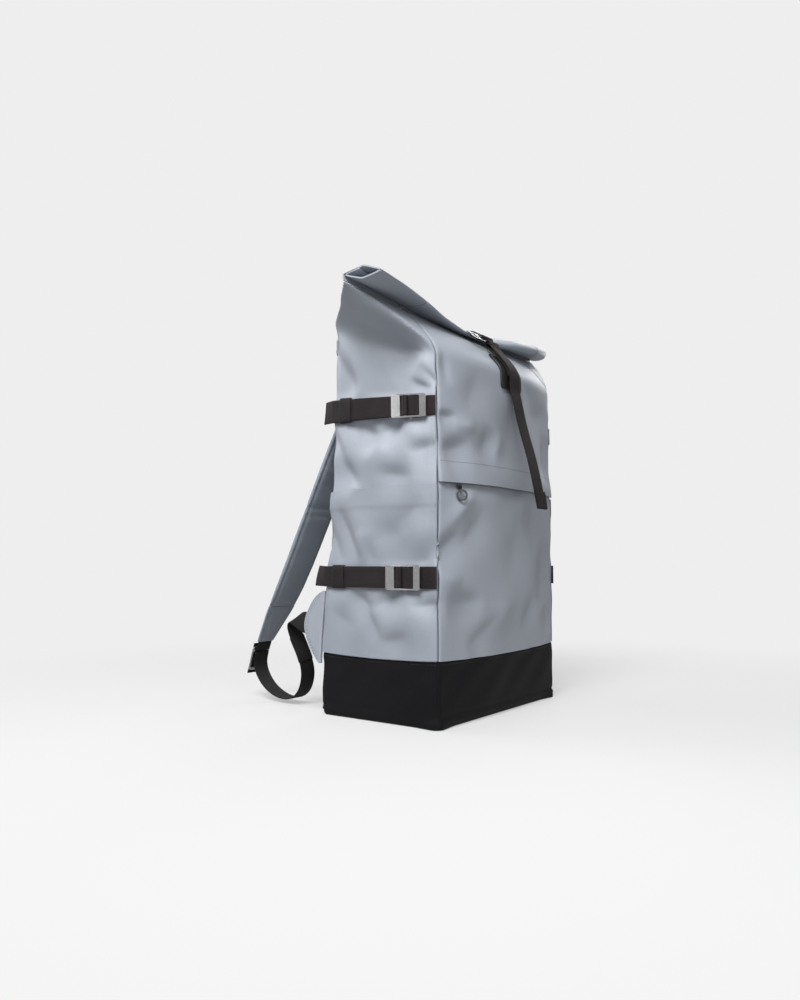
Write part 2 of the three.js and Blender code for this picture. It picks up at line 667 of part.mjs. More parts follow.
function addSideStrap(side, level, strapHeight, onPocket, buckleStart) {
  const baseLift = layGap + (onPocket ? layGap + clothThickness : 0) + webbingThickness / 2;
  const place = sidePlacer(side, strapHeight, baseLift);
  const section = sectionAt(strapHeight);
  const panelLength = seamAlong(section, "back") - seamAlong(section, "front");
  const layer = webbingThickness + layerGap;
  const metalLow = layer + webbingThickness / 2 + layerGap;
  const metalMiddle = metalLow + buckleThickness / 2;
  const metalHigh = metalLow + buckleThickness;
  const buckleEnd = buckleStart + buckleLength;
  const bars = { front: [0, 8], thin: [17.5, 19.5], turning: [24.7, 27.7], rear: [33.2, buckleLength] };
  const fromStart = (path) => path.map(([t, lift]) => [buckleStart + t, lift]);

  // The buckle: a flat bar at the front, two thin bars and a wide plate at the rear, between two rails
  const rail = 1.7;
  const openHalf = buckleHeight / 2 - rail;
  const outline = roundedRectangle(buckleStart, -buckleHeight / 2, buckleEnd, buckleHeight / 2, 2.5);
  const between = [
    [bars.front[1], bars.thin[0]],
    [bars.thin[1], bars.turning[0]],
    [bars.turning[1], bars.rear[0]],
  ];
  const windows = between.map(([t0, t1]) => window4(buckleStart + t0, -openHalf, buckleStart + t1, openHalf));
  const metalPlace = (u, v, w) => place(u, w, v);
  const buckle = plateSolid(outline, windows, metalLow, metalHigh, metalPlace);
  addPiece(`buckle_${level}_${side}`, buckle, colours.silver, 0.35, 1);

  // Short webbing from the corner seam, round the thin bar and back under the front bar
  const turnAround = (bar, startAngle, sweep) => {
    const radius = Math.hypot((bar[1] - bar[0]) / 2, buckleThickness / 2) + layerGap + webbingThickness / 2;
    return halfTurn([(bar[0] + bar[1]) / 2, metalMiddle], radius, startAngle, sweep);
  };
  const rootPath = [
    [1 - buckleStart, 0],
    [4 - buckleStart, 0],
    [8 - buckleStart, 0],
    [0, 0],
    [bars.front[1] + 2, 0],
    [bars.thin[0] - 2, 0.4],
    ...turnAround(bars.thin, -90, 180),
    [bars.front[1] + 6, metalMiddle],
    [bars.front[1] + 0.6, layer + 0.1],
    [bars.front[1] - 3, layer],
    [2, layer],
  ];
  const root = bandSolid(fromStart(rootPath), webbingThickness, webbingWidth, place);
  addPiece(`strap_root_${level}_${side}`, root, colours.webbing, 0.9);

  // The long strap: from the back seam, under the rear plate, round the turning bar and back as the tail
  const backEnd = panelLength - buckleStart;
  const strapPath = [
    [backEnd - 4, 0],
    [backEnd * 0.7, 0],
    [backEnd * 0.35 + buckleLength * 0.5, 0],
    [buckleLength + 3, 0],
    [bars.rear[0], 0],
    [bars.turning[1], 0.5],
    ...turnAround(bars.turning, -90, -210),
    [bars.rear[0] - 3.1, metalMiddle],
    [bars.rear[0] - 1.1, layer + 0.12],
    [bars.rear[0] + 2, layer],
    [buckleLength + 3, layer],
    [backEnd * 0.35 + buckleLength * 0.5, layer],
    [backEnd * 0.7, layer],
    [backEnd - 6, layer],
    [backEnd + tailOverhang, layer],
  ];
  const strap = bandSolid(fromStart(strapPath), webbingThickness, webbingWidth, place);
  addPiece(`strap_${level}_${side}`, strap, colours.webbing, 0.9);

  // The keeper loop, a flat band round both layers, open where it is sewn on the bag's side
  const keeperStart = panelLength - 38;
  const keeperPath = (rise0, rise1) => [
    [rise0, -0.2],
    [rise0, layer + webbingThickness / 2 + layerGap + 0.5],
    [rise1, layer + webbingThickness / 2 + layerGap + 0.5],
    [rise1, -0.2],
  ];
  const reach = webbingWidth / 2 + 1.1;
  const keeperPlace = (rise, lift, w) => place(keeperStart + keeperLength / 2 + w, lift, rise);
  const keeper = bandSolid(keeperPath(-reach, reach), 1, keeperLength, keeperPlace);
  addPiece(`keeper_${level}_${side}`, keeper, colours.webbing, 0.9);
}

// The hook hangs against the front of the roll: its own frame has u along +X, v up its slope
const hookCentre = { x: -14, y: -69, z: 475.5 };
function hookPlace(u, v, w) {
  const slope = hookTilt * degrees;
  return new THREE.Vector3(
    hookCentre.x + u,
    hookCentre.y + v * Math.cos(slope) - w * Math.sin(slope),
    hookCentre.z + v * Math.sin(slope) + w * Math.cos(slope),
  );
}

function addHook() {
  const half = hookLength / 2;
  const tall = hookHeight / 2;
  const rail = 2.6;
  const outline = new THREE.Shape();
  const gapCentre = -3;
  const gapHalf = 1;
  const corner = 3;
  // The outline runs round the plate and dips into the long slot through the gap in its upper rail
  outline.moveTo(-half + corner, -tall);
  outline.lineTo(half - corner, -tall);
  outline.absarc(half - corner, -tall + corner, corner, -Math.PI / 2, 0, false);
  outline.absarc(half - corner, tall - corner, corner, 0, Math.PI / 2, false);
  outline.lineTo(gapCentre + gapHalf, tall);
  outline.lineTo(gapCentre + gapHalf, tall - rail);
  outline.lineTo(half - rail - 1, tall - rail);
  outline.lineTo(half - rail - 1, -tall + rail);
  outline.lineTo(-half + 20, -tall + rail);
  outline.lineTo(-half + 20, tall - rail);
  outline.lineTo(gapCentre - gapHalf, tall - rail);
  outline.lineTo(gapCentre - gapHalf, tall);
  outline.lineTo(-half + corner, tall);
  outline.absarc(-half + corner, tall - corner, corner, Math.PI / 2, Math.PI, false);
  outline.absarc(-half + corner, -tall + corner, corner, Math.PI, 1.5 * Math.PI, false);
  const windows = [window4(-half + 4, -tall + rail, -half + 15, tall - rail, 1.5)];
  const hook = plateSolid(outline, windows, -hookThickness / 2, hookThickness / 2, hookPlace);
  addPiece("hook", hook, colours.gunmetal, 0.4, 1);
}

// Local point of the hook's bars in the Y-Z plane
function hookBar(v) {
  const at = hookPlace(0, v, 0);
  return [at.y, at.z];
}

const barTurn = Math.hypot(1.5, hookThickness / 2) + layerGap + webbingThickness / 2;
const centrePlace = (y, z, w) => new THREE.Vector3(w, y, z);

// The front of the body at the bag's middle: y for a height share, with a lift off the skin
function frontMiddle(height, lift) {
  const at = skinOffset(0, height, lift, false);
  return [at.y, at.z];
}

// The front strap's free tail below the patch: its height as a share of the crease height, and how far
// it has left the front, beyond its place on the patch
const tailRows = [
  { height: 0.8, lift: 3.2 },
  { height: 0.72, lift: 10 },
  { height: 0.62, lift: 24 },
  { height: 0.504, lift: 36 },
];

function addClosure() {
  const lowerBar = hookBar(-hookHeight / 2 + 1.5);
  const upperBar = hookBar(hookHeight / 2 - 1.5);
  const patchLow = 419;
  const patchLift = 1.5 * layGap;
  const onPatch = patchLift + patchThickness + 1.5 * layGap + webbingThickness / 2;
  const overRoot = onPatch + webbingThickness + 1.5 * layGap;
  const patchHeights = Array.from({ length: 6 }, (_, i) => patchLow + (patchLength * i) / 5);

  // The patch lies on the front, and its webbing starts on it
  const patchGrid = (lift) =>
    patchHeights.map((height, i) =>
      Array.from({ length: 5 }, (_, j) => {
        const chamfer = i === 0 || i === 5 ? 2.5 : 0;
        const across = (patchWidth / 2 - chamfer) * (j / 2 - 1);
        return skinOffset(-across, height, lift, false);
      }),
    );
  const patch = sheetSolid(patchGrid(patchLift + patchThickness), patchGrid(patchLift));
  addPiece("strap_patch", patch, colours.patch, 0.7);

  // Front strap: sewn on the patch, up to the hook's lower bar, round it, and down as the free tail
  const frontPath = [
    ...patchHeights.slice(2).map((height) => frontMiddle(height, onPatch)),
    [lowerBar[0] + 1.5, lowerBar[1] - 6],
    ...halfTurn(lowerBar, barTurn, 20, 150),
    [lowerBar[0] - 5.5, lowerBar[1] - 6],
    ...patchHeights.slice(0, 5).reverse().map((height) => frontMiddle(height, overRoot)),
    ...tailRows.map((row) => frontMiddle(row.height * creaseHeight, overRoot + row.lift)),
  ];
  addPiece("front_strap", bandSolid(frontPath, webbingThickness, webbingWidth, centrePlace), colours.webbing, 0.9);

  // Top strap: from the back panel over the roll to the hook's upper bar
  const crease = creaseAt(0);
  const onBack = (height) => {
    const at = skinOffset(halfOutline(sectionAt(height)), height, 1.5 * layGap + webbingThickness / 2, false);
    return [at.y, at.z];
  };
  const middleRoll = rollSections.find((row) => row.along === 0);
  const rollTop = crease.z + rollLift + middleRoll.z + middleRoll.height / 2 + layGap + webbingThickness;
  const topPath = [
    ...Array.from({ length: 11 }, (_, i) => onBack((0.85 + 0.0135 * i) * creaseHeight)),
    [crease.y + 4, rollTop + 3.4],
    [crease.y + middleRoll.y, rollTop + 2],
    [upperBar[0] + 6.5, upperBar[1] + 6.5],
    ...halfTurn(upperBar, barTurn, 70, 130, 4),
  ];
  addPiece("top_strap", bandSolid(topPath, webbingThickness, webbingWidth, centrePlace), colours.webbing, 0.9);
}

// Shoulder strap route. Share is the length along the strap, x the share from the upper anchor to the
// lower end, y and z are the centre line, width and thickness are shares of the pad's own sizes.
const strapRows = [
  { share: 0.0, x: 0.0, y: 81.7, z: 446, width: 0.9, thickness: 0.55 },
  { share: 0.16, x: 0.3, y: 90, z: 410, width: 1.0, thickness: 1.0 },
  { share: 0.3, x: 0.62, y: 99, z: 362, width: 1.0, thickness: 1.0 },
  { share: 0.45, x: 0.85, y: 114, z: 312, width: 1.0, thickness: 1.0 },
  { share: 0.58, x: 0.96, y: 132, z: 266, width: 0.98, thickness: 0.85 },
  { share: 0.75, x: 1.0, y: 159, z: 209, width: 0.96, thickness: 1.0 },
  { share: 0.9, x: 1.0, y: 186, z: 158, width: 0.92, thickness: 0.9 },
  { share: 1.0, x: 1.0, y: 203.5, z: 128, width: 0.86, thickness: 0.6 },
];
const strapEndDrop = { y: 32, z: -50 };
const hangDrop = { y: 12, z: -40 };

function strapCentre(share) {
  const read = (name) => columnAt(strapRows, "share", name, share);
  return new THREE.Vector3(strapAnchorX + (strapLowX - strapAnchorX) * read("x"), read("y"), read("z"));
}

function padRing(centre, direction, width, thickness, sides, mirror) {
  const wide = new THREE.Vector3(1, 0, 0);
  const out = wide.clone().cross(direction).normalize();
  return Array.from({ length: sides }, (_, i) => {
    const angle = (2 * Math.PI * i) / sides;
    const c = Math.cos(angle);
    const s = Math.sin(angle);
    const u = (Math.sign(c) * Math.pow(Math.abs(c), 0.55) * width) / 2;
    const v = (Math.sign(s) * Math.pow(Math.abs(s), 0.8) * thickness) / 2;
    const point = centre.clone().addScaledVector(wide, u).addScaledVector(out, v);
    return mirror(point);
  });
}

function addShoulderStrap(side) {
  const sign = side === "left" ? -1 : 1;
  const mirror = (point) => new THREE.Vector3(sign * point.x, point.y, point.z);
  const steps = 16;
  const sides = 12;
  const rings = [];
  for (let i = 0; i <= steps; i += 1) {
    const share = i / steps;
    const centre = strapCentre(share);
    const ahead = strapCentre(Math.min(share + 0.01, 1));
    const behind = strapCentre(Math.max(share - 0.01, 0));
    const direction = ahead.sub(behind).normalize();
    const width = columnAt(strapRows, "share", "width", share) * strapPadWidth;
    const thickness = columnAt(strapRows, "share", "thickness", share) * strapPadThickness;
    rings.push(padRing(centre, direction, width, thickness, sides, mirror));
  }
  const pad = ringSolid(rings, mirror(strapCentre(0)), mirror(strapCentre(1)));
  addPiece(`shoulder_pad_${side}`, pad, colours.cloth, 0.8);

  // The tapered end below the pad, where the webbing is sewn in
  const last = strapRows[strapRows.length - 1];
  const length = Math.hypot(strapEndDrop.y, strapEndDrop.z);
  const down = [strapEndDrop.y / length, strapEndDrop.z / length];
  const out = [-down[1], down[0]];
  const place = (a, b, w) =>
    mirror(new THREE.Vector3(strapLowX + w, last.y + down[0] * a + out[0] * b, last.z + down[1] * a + out[1] * b));
  const topHalf = (last.width * strapPadWidth) / 2;
  const endHalf = webbingWidth / 2 + 2;
  const endThickness = 3.2;
  const shape = new THREE.Shape();
  shape.moveTo(seamGap + 0.3, -topHalf);
  shape.lineTo(12, -topHalf + 1.5);
  shape.lineTo(length, -endHalf);
  shape.lineTo(length, endHalf);
  shape.lineTo(12, topHalf - 1.5);
  shape.lineTo(seamGap + 0.3, topHalf);
  shape.closePath();
  const endPiece = plateSolid(shape, [], -endThickness / 2, endThickness / 2, (u, v, w) => place(u, w, v));
  addPiece(`strap_end_${side}`, endPiece, colours.cloth, 0.8);

  // What hangs from the end hangs more steeply: a is the distance below the end, b is outwards from the bag
  const hang = Math.hypot(hangDrop.y, hangDrop.z);
  const fall = [hangDrop.y / hang, hangDrop.z / hang];
  const foot = [last.y + strapEndDrop.y, last.z + strapEndDrop.z];
  const hangPlace = (a, b, w) =>
    mirror(new THREE.Vector3(strapLowX + w, foot[0] + fall[0] * a - fall[1] * b, foot[1] + fall[1] * a + fall[0] * b));
  addTriglide(side, hangPlace, mirror);
}

// The triglide below the strap's end: a along the strap, b outwards from the bag
function addTriglide(side, place, mirror) {
  const start = 9;
  const bars = { top: [0, 4], middle: [15, 19], bottom: [30, triglideLength] };
  const metalB = 4.2;
  const half = triglideWidth / 2;
  const rail = 2.4;
  const outline = roundedRectangle(start, -half, start + triglideLength, half, 3);
  const windows = [
    window4(start + bars.top[1], -half + rail, start + bars.middle[0], half - rail),
    window4(start + bars.middle[1], -half + rail, start + bars.bottom[0], half - rail),
  ];
  const low = metalB - triglideThickness / 2;
  const frame = plateSolid(outline, windows, low, low + triglideThickness, (u, v, w) => place(u, w, v));
  addPiece(`triglide_${side}`, frame, colours.gunmetal, 0.35, 1);

  const turn = Math.hypot(2, triglideThickness / 2) + layerGap + webbingThickness / 2;
  const topCentre = [start + 2, metalB];
  const loopPath = [
    [seamGap + 0.2, 0],
    [start * 0.5, metalB - turn - 0.8],
    ...halfTurn(topCentre, turn, -80, 170, 5),
    [start - 3.5, metalB + turn - 0.2],
  ];
  addPiece(`strap_loop_${side}`, bandSolid(loopPath, webbingThickness, webbingWidth, place), colours.webbing, 0.9);

  // Adjuster webbing: from the tail below the triglide, round its middle bar, down the free loop that
  // nearly touches the floor and up to the wing at the bag's back seam
  const middleCentre = [start + 17, metalB];
  const sewn = [
    [start + triglideLength + 6, metalB + turn + 0.4],
    [start + 24, metalB + turn],
    ...halfTurn(middleCentre, turn, 80, 160, 5),
    [start + 22, metalB - turn - 0.5],
  ];
  const facesFlat = bandFaces(sewn, webbingThickness);
  const outer = facesFlat[0].map(([a, b]) => [-0.5, 0.5].map((w) => place(a, b, w * webbingWidth)));
  const inner = facesFlat[1].map(([a, b]) => [-0.5, 0.5].map((w) => place(a, b, w * webbingWidth)));
  appendLoop(outer, inner, mirror);
  addPiece(`adjuster_webbing_${side}`, sheetSolid(outer, inner), colours.webbing, 0.9);
}

// The free loop's centre line, from the triglide down and round to the wing. Turn is how far the
// webbing's width has swung from the X direction to stand on the wing.
const loopRows = [
  { x: -102, y: 240, z: 35, turn: 0 },
  { x: -103, y: 226, z: 19.5, turn: 0 },
  { x: -104, y: 207, z: 9.3, turn: 0 },
  { x: -105.5, y: 187, z: 5, turn: 0 },
  { x: -107, y: 169, z: 6.8, turn: 0 },
  { x: -109, y: 154, z: 16, turn: 0 },
  { x: -112, y: 144.5, z: 31.5, turn: 0 },
  { x: -114.5, y: 141.5, z: 48, turn: 0 },
  { x: -117, y: 145.5, z: 65, turn: 0 },
  { x: -119.5, y: 152.5, z: 81, turn: 2 },
  { x: -122, y: 158, z: 95, turn: 5 },
  { x: -124, y: 159.5, z: 107, turn: 10 },
  { x: -126, y: 154, z: 115, turn: 24 },
  { x: -127.5, y: 144.5, z: 114, turn: 48 },
  { x: -129, y: 133.5, z: 109, turn: 72 },
  { x: -130.5, y: 121.5, z: 106, turn: 87 },
  { x: -131.5, y: 110, z: 105, turn: 90 },
];

function appendLoop(outer, inner, mirror) {
  loopRows.forEach((row, i) => {
    const before = loopRows[Math.max(i - 1, 0)];
    const after = loopRows[Math.min(i + 1, loopRows.length - 1)];
    const along = new THREE.Vector3(after.x - before.x, after.y - before.y, after.z - before.z).normalize();
    const wide = new THREE.Vector3(Math.cos(row.turn * degrees), 0, Math.sin(row.turn * degrees));
    wide.addScaledVector(along, -wide.dot(along)).normalize();
    const through = wide.clone().cross(along);
    const at = (w, b) => {
      const point = new THREE.Vector3(-row.x, row.y, row.z);
      const mirroredWide = new THREE.Vector3(-wide.x, wide.y, wide.z);
      const mirroredThrough = new THREE.Vector3(-through.x, through.y, through.z);
      point.addScaledVector(mirroredWide, w).addScaledVector(mirroredThrough, b);
      return mirror(point);
    };
    const half = webbingWidth / 2;
    outer.push([at(half, webbingThickness / 2), at(-half, webbingThickness / 2)]);
    inner.push([at(half, -webbingThickness / 2), at(-half, -webbingThickness / 2)]);
  });
}

// Edge of the stitched wing at the back seam, which holds the adjuster webbing: its reach from the seam
// as a share of the wing's whole reach, at each height
const wingRows = [
  { reach: 0, height: 62 },
  { reach: 0.24, height: 68 },
  { reach: 0.56, height: 79.5 },
  { reach: 0.86, height: 94 },
  { reach: 1, height: 106 },
  { reach: 0.97, height: 117 },
  { reach: 0.82, height: 128 },
  { reach: 0.58, height: 140 },
  { reach: 0.3, height: 148 },
  { reach: 0, height: 152 },
];

function addWing(side) {
  const sign = side === "left" ? -1 : 1;
  const low = wingRows[0].height;
  const high = wingRows[wingRows.length - 1].height;
  const inwardLean = 0.3;
  const seamPoint = (z) => {
    const section = sectionAt(z);
    return skinOffset(seamAlong(section, "back"), z, layGap + clothThickness + 1.6 * layGap, false);
  };
  const shape = new THREE.Shape(wingRows.map((row) => new THREE.Vector2(row.reach * wingReach, row.height)));
  const place = (u, v, w) => {
    const root = seamPoint(Math.min(Math.max(v, low), high));
    return new THREE.Vector3(sign * (-root.x - inwardLean * u + w), root.y + u, v);
  };
  const wing = plateSolid(shape, [], 0, wingThickness, place);
  addPiece(`wing_${side}`, wing, colours.cloth, 0.8);
}

// Zip pull under the flap's hem at the left: slider, link and ring, each a little further off the cloth
function addZipPull() {
  const acrossFront = 112;
  const thickness = { slider: 2.2, link: 1.2, ring: 1.6 };
  const lift = { slider: 0.4, link: 3.1, ring: 1.1 };
  const place = (below, out) => (u, v, w) => {
    const at = skinOffset(acrossFront, flapHemHeight - below + v, out + w, false);
    return new THREE.Vector3(at.x + u, at.y, at.z);
  };
  const plate = (name, shape, windows, below, curveSegments) =>
    plateSolid(shape, windows, 0, thickness[name], place(below, lift[name]), curveSegments);
  const slider = plate("slider", roundedRectangle(-3.5, -3, 3.5, 3, 2), [], 3.6, 2);
  addPiece("zip_slider", slider, colours.gunmetal, 0.35, 1);
  const link = plate("link", roundedRectangle(-2, -3.6, 2, 3.6, 1.5), [], 5.5, 2);
  addPiece("zip_link", link, colours.silver, 0.35, 1);
  const ringRadius = 6.2;
  const ringOuter = new THREE.Shape();
  ringOuter.absarc(0, 0, ringRadius, 0, 2 * Math.PI, false);
  const hole = new THREE.Path();
  hole.absarc(0, 0, ringRadius - 2.2, 0, 2 * Math.PI, true);
  addPiece("zip_ring", plate("ring", ringOuter, [hole], 13.4, 10), colours.silver, 0.35, 1);
}

addBase();
addBody();
addRoll();
for (const side of ["left", "right"]) {
  addSideStrap(side, "upper", upperStrapHeight, false, 10);
  addSideStrap(side, "lower", lowerStrapHeight, true, 18);
  addShoulderStrap(side);
  addWing(side);
}
addHook();
addClosure();
addZipPull();

export default group;
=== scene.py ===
# Looks of the rolltop backpack: fine cloth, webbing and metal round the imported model, with floor, light and
# camera. Shapes are worked out in millimetres in the model's frame and written in metres. Lights, floor and
# camera are given in metres.
import math

import bmesh
import bpy
import numpy as np
from mathutils import Matrix, Vector


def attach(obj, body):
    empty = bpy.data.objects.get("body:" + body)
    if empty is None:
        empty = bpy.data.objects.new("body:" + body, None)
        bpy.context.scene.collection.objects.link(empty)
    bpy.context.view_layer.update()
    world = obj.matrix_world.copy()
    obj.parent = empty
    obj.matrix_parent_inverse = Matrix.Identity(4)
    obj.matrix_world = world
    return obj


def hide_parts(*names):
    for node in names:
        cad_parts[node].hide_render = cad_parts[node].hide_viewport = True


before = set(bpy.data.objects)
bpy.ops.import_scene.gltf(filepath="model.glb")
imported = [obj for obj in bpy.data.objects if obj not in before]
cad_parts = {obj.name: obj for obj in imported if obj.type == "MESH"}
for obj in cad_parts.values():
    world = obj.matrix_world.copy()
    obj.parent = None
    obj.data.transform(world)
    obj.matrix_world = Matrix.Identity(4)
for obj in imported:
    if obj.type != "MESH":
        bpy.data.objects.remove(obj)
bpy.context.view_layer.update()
MM = 0.001
BACKDROP = (0.855, 0.855, 0.855)

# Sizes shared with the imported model
BODY_WIDTH, BODY_DEPTH, CREASE_HEIGHT, BASE_HEIGHT = 290.0, 165.0, 503.0, 74.5
POCKET_HEIGHT, HEM_HEIGHT = 277.0, 279.0
SEAM_GAP, CLOTH, BASE_CLOTH = 0.6, 1.6, 2.0
MOUTH_SAG, MOUTH_BOW = 19.0, 27.0
FRONT_BULGE, SIDE_BULGE, BACK_BULGE = 15.5, 7.0, 6.0
FLAP_STAND_OFF = 2.6
WEB_WIDTH, WEB = 25.0, 1.5
LAY_GAP, LAYER_GAP = 0.6, 0.35
UPPER_STRAP, LOWER_STRAP = 371.0, 170.0
BUCKLE_LENGTH, BUCKLE_THICK = 45.0, 2.2
PANEL_TILT, SEAM_INSET = 0.16, 0.215
FOLD_GAIN = 1.15
SEAM_DIP = 1.9
HEM_WIDTH, POCKET_BOW = 25.0, 4.2
# The dark tape behind the upright seams, painted shade seen through the seam gaps: its top as a share of the crease's
# height, and its two faces' depths
SHADE_TAPE_TOP, SHADE_TAPE_DEPTHS = 0.85, (5.6, 5.9)


# ---------------------------------------------------------------- tables
def table(names, *rows):
    return {name: np.array([row[i] for row in rows], float) for i, name in enumerate(names.split())}


SECTIONS = table(
    "height front back half corner bulge tilt lift mouth",
    (0.0, -0.496, 0.535, 0.494, 0.04, 0.0, 0, 0, 0),
    (0.006, -0.505, 0.545, 0.5, 0.045, 0.1, 0, 0, 0),
    (0.02, -0.509, 0.549, 0.502, 0.024, 0.2, 0, 0, 0),
    (0.148, -0.509, 0.546, 0.502, 0.024, 0.5, 0, 0, 0),
    (0.3, -0.512, 0.508, 0.502, 0.024, 0.85, 0, 0, 0),
    (0.58, -0.512, 0.464, 0.502, 0.024, 1.0, 0, 0, 0),
    (0.74, -0.506, 0.448, 0.502, 0.024, 1.05, 0.3, 0, 0),
    (0.885, -0.502, 0.444, 0.502, 0.024, 1.05, 1.0, 0.165, 0.02),
    (0.92, -0.39, 0.312, 0.575, 0.026, 0.9, 0.9, 0.125, 0.26),
    (0.948, -0.288, 0.186, 0.645, 0.03, 0.65, 0.65, 0.08, 0.5),
    (0.975, -0.186, 0.062, 0.714, 0.02, 0.3, 0.35, 0.03, 0.76),
    (1.0, -0.0855, -0.0625, 0.7845, 0.0115, 0.0, 0, 0, 1),
)

# Folds: panel, share across it, height, length, width, angle, depth inwards, skew. The angle rises to the
# right as seen from outside. A negative depth is a ridge. Skew makes the upper flank the steeper one.
FOLDS = [
    ("left", 0.24, 451, 64, 22, -34, 4.5, 0.5),
    ("left", 0.66, 452, 80, 26, 14, -2.4, 0),
    ("left", 0.53, 490, 30, 8, 52, 2.2, 0.3),
    ("left", 0.45, 487, 26, 7, -60, 1.8, 0.3),
    ("left", 0.84, 404, 58, 34, -36, 8.5, 0.38),
    ("left", 0.97, 428, 58, 21, -70, 4.4, 0.22),
    ("left", 0.42, 408, 99, 75, -8, 7.3, 0.26),
    ("left", 0.28, 428, 65, 34, 35, 4.2, 0.22),
    ("left", 0.42, 455, 140, 26, -20, 6.0, 0.4),
    ("left", 0.40, 482, 150, 24, -22, -8.0, 0),
    ("left", 0.11, 424, 78, 20, -66, -1.6, 0),
    ("left", 0.05, 408, 48, 13, -60, 4.2, 0.22),
    ("left", 0.13, 397, 43, 16, -22, 3.9, 0.3),
    ("left", 0.60, 343, 58, 27, -38, 8.5, 0.38),
    ("left", 0.40, 346, 52, 25, 36, 7.3, 0.38),
    ("left", 0.75, 352, 35, 18, -20, 3.9, 0.22),
    ("left", 0.10, 319, 50, 27, 14, 7.0, 0.45),
    ("left", 0.20, 338, 48, 21, -24, -1.4, 0),
    ("left", 0.82, 298, 69, 32, -50, 7.8, 0.34),
    ("left", 0.93, 332, 56, 21, -60, 4.4, 0.22),
    ("left", 0.36, 289, 63, 31, -6, 6.0, 0.3),
    ("left", 0.53, 312, 67, 52, 10, -3.6, 0),
    ("left", 0.36, 220, 80, 62, 14, 9.1, 0.38),
    ("left", 0.21, 244, 56, 29, 40, 3.9, 0.22),
    ("left", 0.78, 222, 97, 32, -62, 8.5, 0.34),
    ("left", 0.93, 214, 78, 23, -66, 5.2, 0.22),
    ("left", 0.62, 205, 50, 18, -80, -3.6, 0),
    ("left", 0.56, 200, 45, 18, -84, 3.6, 0.22),
    ("left", 0.08, 197, 67, 29, 64, 4.9, 0.22),
    ("left", 0.62, 141, 52, 27, -34, 7.3, 0.38),
    ("left", 0.52, 116, 58, 22, -64, 4.7, 0.3),
    ("left", 0.40, 143, 52, 25, 34, 6.5, 0.38),
    ("left", 0.07, 138, 50, 22, 10, 5.5, 0.38),
    ("left", 0.24, 122, 67, 39, 20, -3.1, 0),
    ("left", 0.80, 118, 67, 34, -28, 4.2, 0.22),
    ("left", 0.34, 96, 65, 23, 12, 3.1, 0.22),
    ("right", 0.30, 451, 64, 22, 30, 4.5, 0.5),
    ("right", 0.80, 406, 60, 34, 34, 7.3, 0.38),
    ("right", 0.44, 410, 97, 68, 10, 6.5, 0.26),
    ("right", 0.42, 455, 140, 26, 20, 5.0, 0.4),
    ("right", 0.40, 482, 150, 24, 22, -7.0, 0),
    ("right", 0.10, 420, 71, 20, 66, -1.6, 0),
    ("right", 0.58, 343, 56, 27, 40, 7.8, 0.38),
    ("right", 0.38, 346, 52, 25, -34, 6.8, 0.38),
    ("right", 0.11, 322, 50, 26, -12, 5.5, 0.38),
    ("right", 0.80, 300, 67, 31, 52, 6.5, 0.3),
    ("right", 0.40, 290, 63, 31, 8, 5.2, 0.3),
    ("right", 0.40, 224, 78, 57, -14, 7.8, 0.38),
    ("right", 0.78, 220, 93, 31, 62, 7.0, 0.3),
    ("right", 0.12, 204, 65, 26, -62, 4.7, 0.22),
    ("right", 0.60, 141, 52, 26, 36, 6.8, 0.38),
    ("right", 0.38, 143, 52, 25, -34, 6.0, 0.38),
    ("right", 0.74, 114, 65, 29, 30, 3.9, 0.22),
    ("front", 0.95, 360, 36, 14, -4, 3.9, 0.4),
    ("front", 0.90, 321, 62, 32, 12, 6.2, 0.4),
    ("front", 0.84, 350, 48, 23, -6, -3.2, 0),
    ("front", 0.69, 332, 58, 41, 62, 5.3, 0.24),
    ("front", 0.61, 330, 62, 23, 66, -2.5, 0),
    ("front", 0.95, 425, 60, 16, -80, 2.8, 0.16),
    ("front", 0.78, 400, 92, 48, 70, 3.2, 0.16),
    ("front", 0.50, 352, 112, 69, 75, 3.7, 0.16),
    ("front", 0.20, 392, 104, 60, 10, 4.6, 0.24),
    ("front", 0.11, 330, 92, 39, 84, 4.6, 0.16),
    ("front", 0.30, 424, 84, 41, -30, 2.8, 0.16),
    ("front", 0.87, 250, 86, 23, 42, -4.1, 0),
    ("front", 0.94, 206, 62, 30, 38, 6.2, 0.4),
    ("front", 0.79, 226, 82, 30, 44, 3.7, 0.24),
    ("front", 0.84, 140, 78, 31, -4, 5.8, 0.4),
    ("front", 0.94, 167, 52, 25, -14, -3.0, 0),
    ("front", 0.60, 118, 112, 39, 34, -3.9, 0),
    ("front", 0.70, 103, 92, 28, 30, 4.4, 0.32),
    ("front", 0.45, 200, 124, 69, 72, 4.4, 0.16),
    ("front", 0.28, 232, 104, 51, -66, 3.9, 0.16),
    ("front", 0.15, 170, 104, 41, 80, 4.8, 0.24),
    ("front", 0.30, 122, 72, 32, 46, 3.9, 0.24),
    ("front", 0.50, 262, 82, 34, -10, 2.5, 0.16),
    ("front", 0.09, 108, 52, 23, -60, 3.2, 0.24),
    ("back", 0.50, 330, 180, 60, 90, 4.0, 0),
    ("back", 0.22, 410, 100, 30, 60, 3.4, 0.3),
    ("back", 0.78, 402, 100, 30, -64, 3.4, 0.3),
    ("back", 0.30, 222, 100, 34, -50, 3.4, 0.3),
    ("back", 0.68, 184, 96, 32, 42, 3.4, 0.3),
    ("back", 0.44, 118, 80, 26, 12, 2.8, 0.2),
    ("back", 0.86, 250, 70, 24, 70, 3.0, 0.3),
    ("back", 0.14, 130, 70, 24, -60, 3.0, 0.3),
]

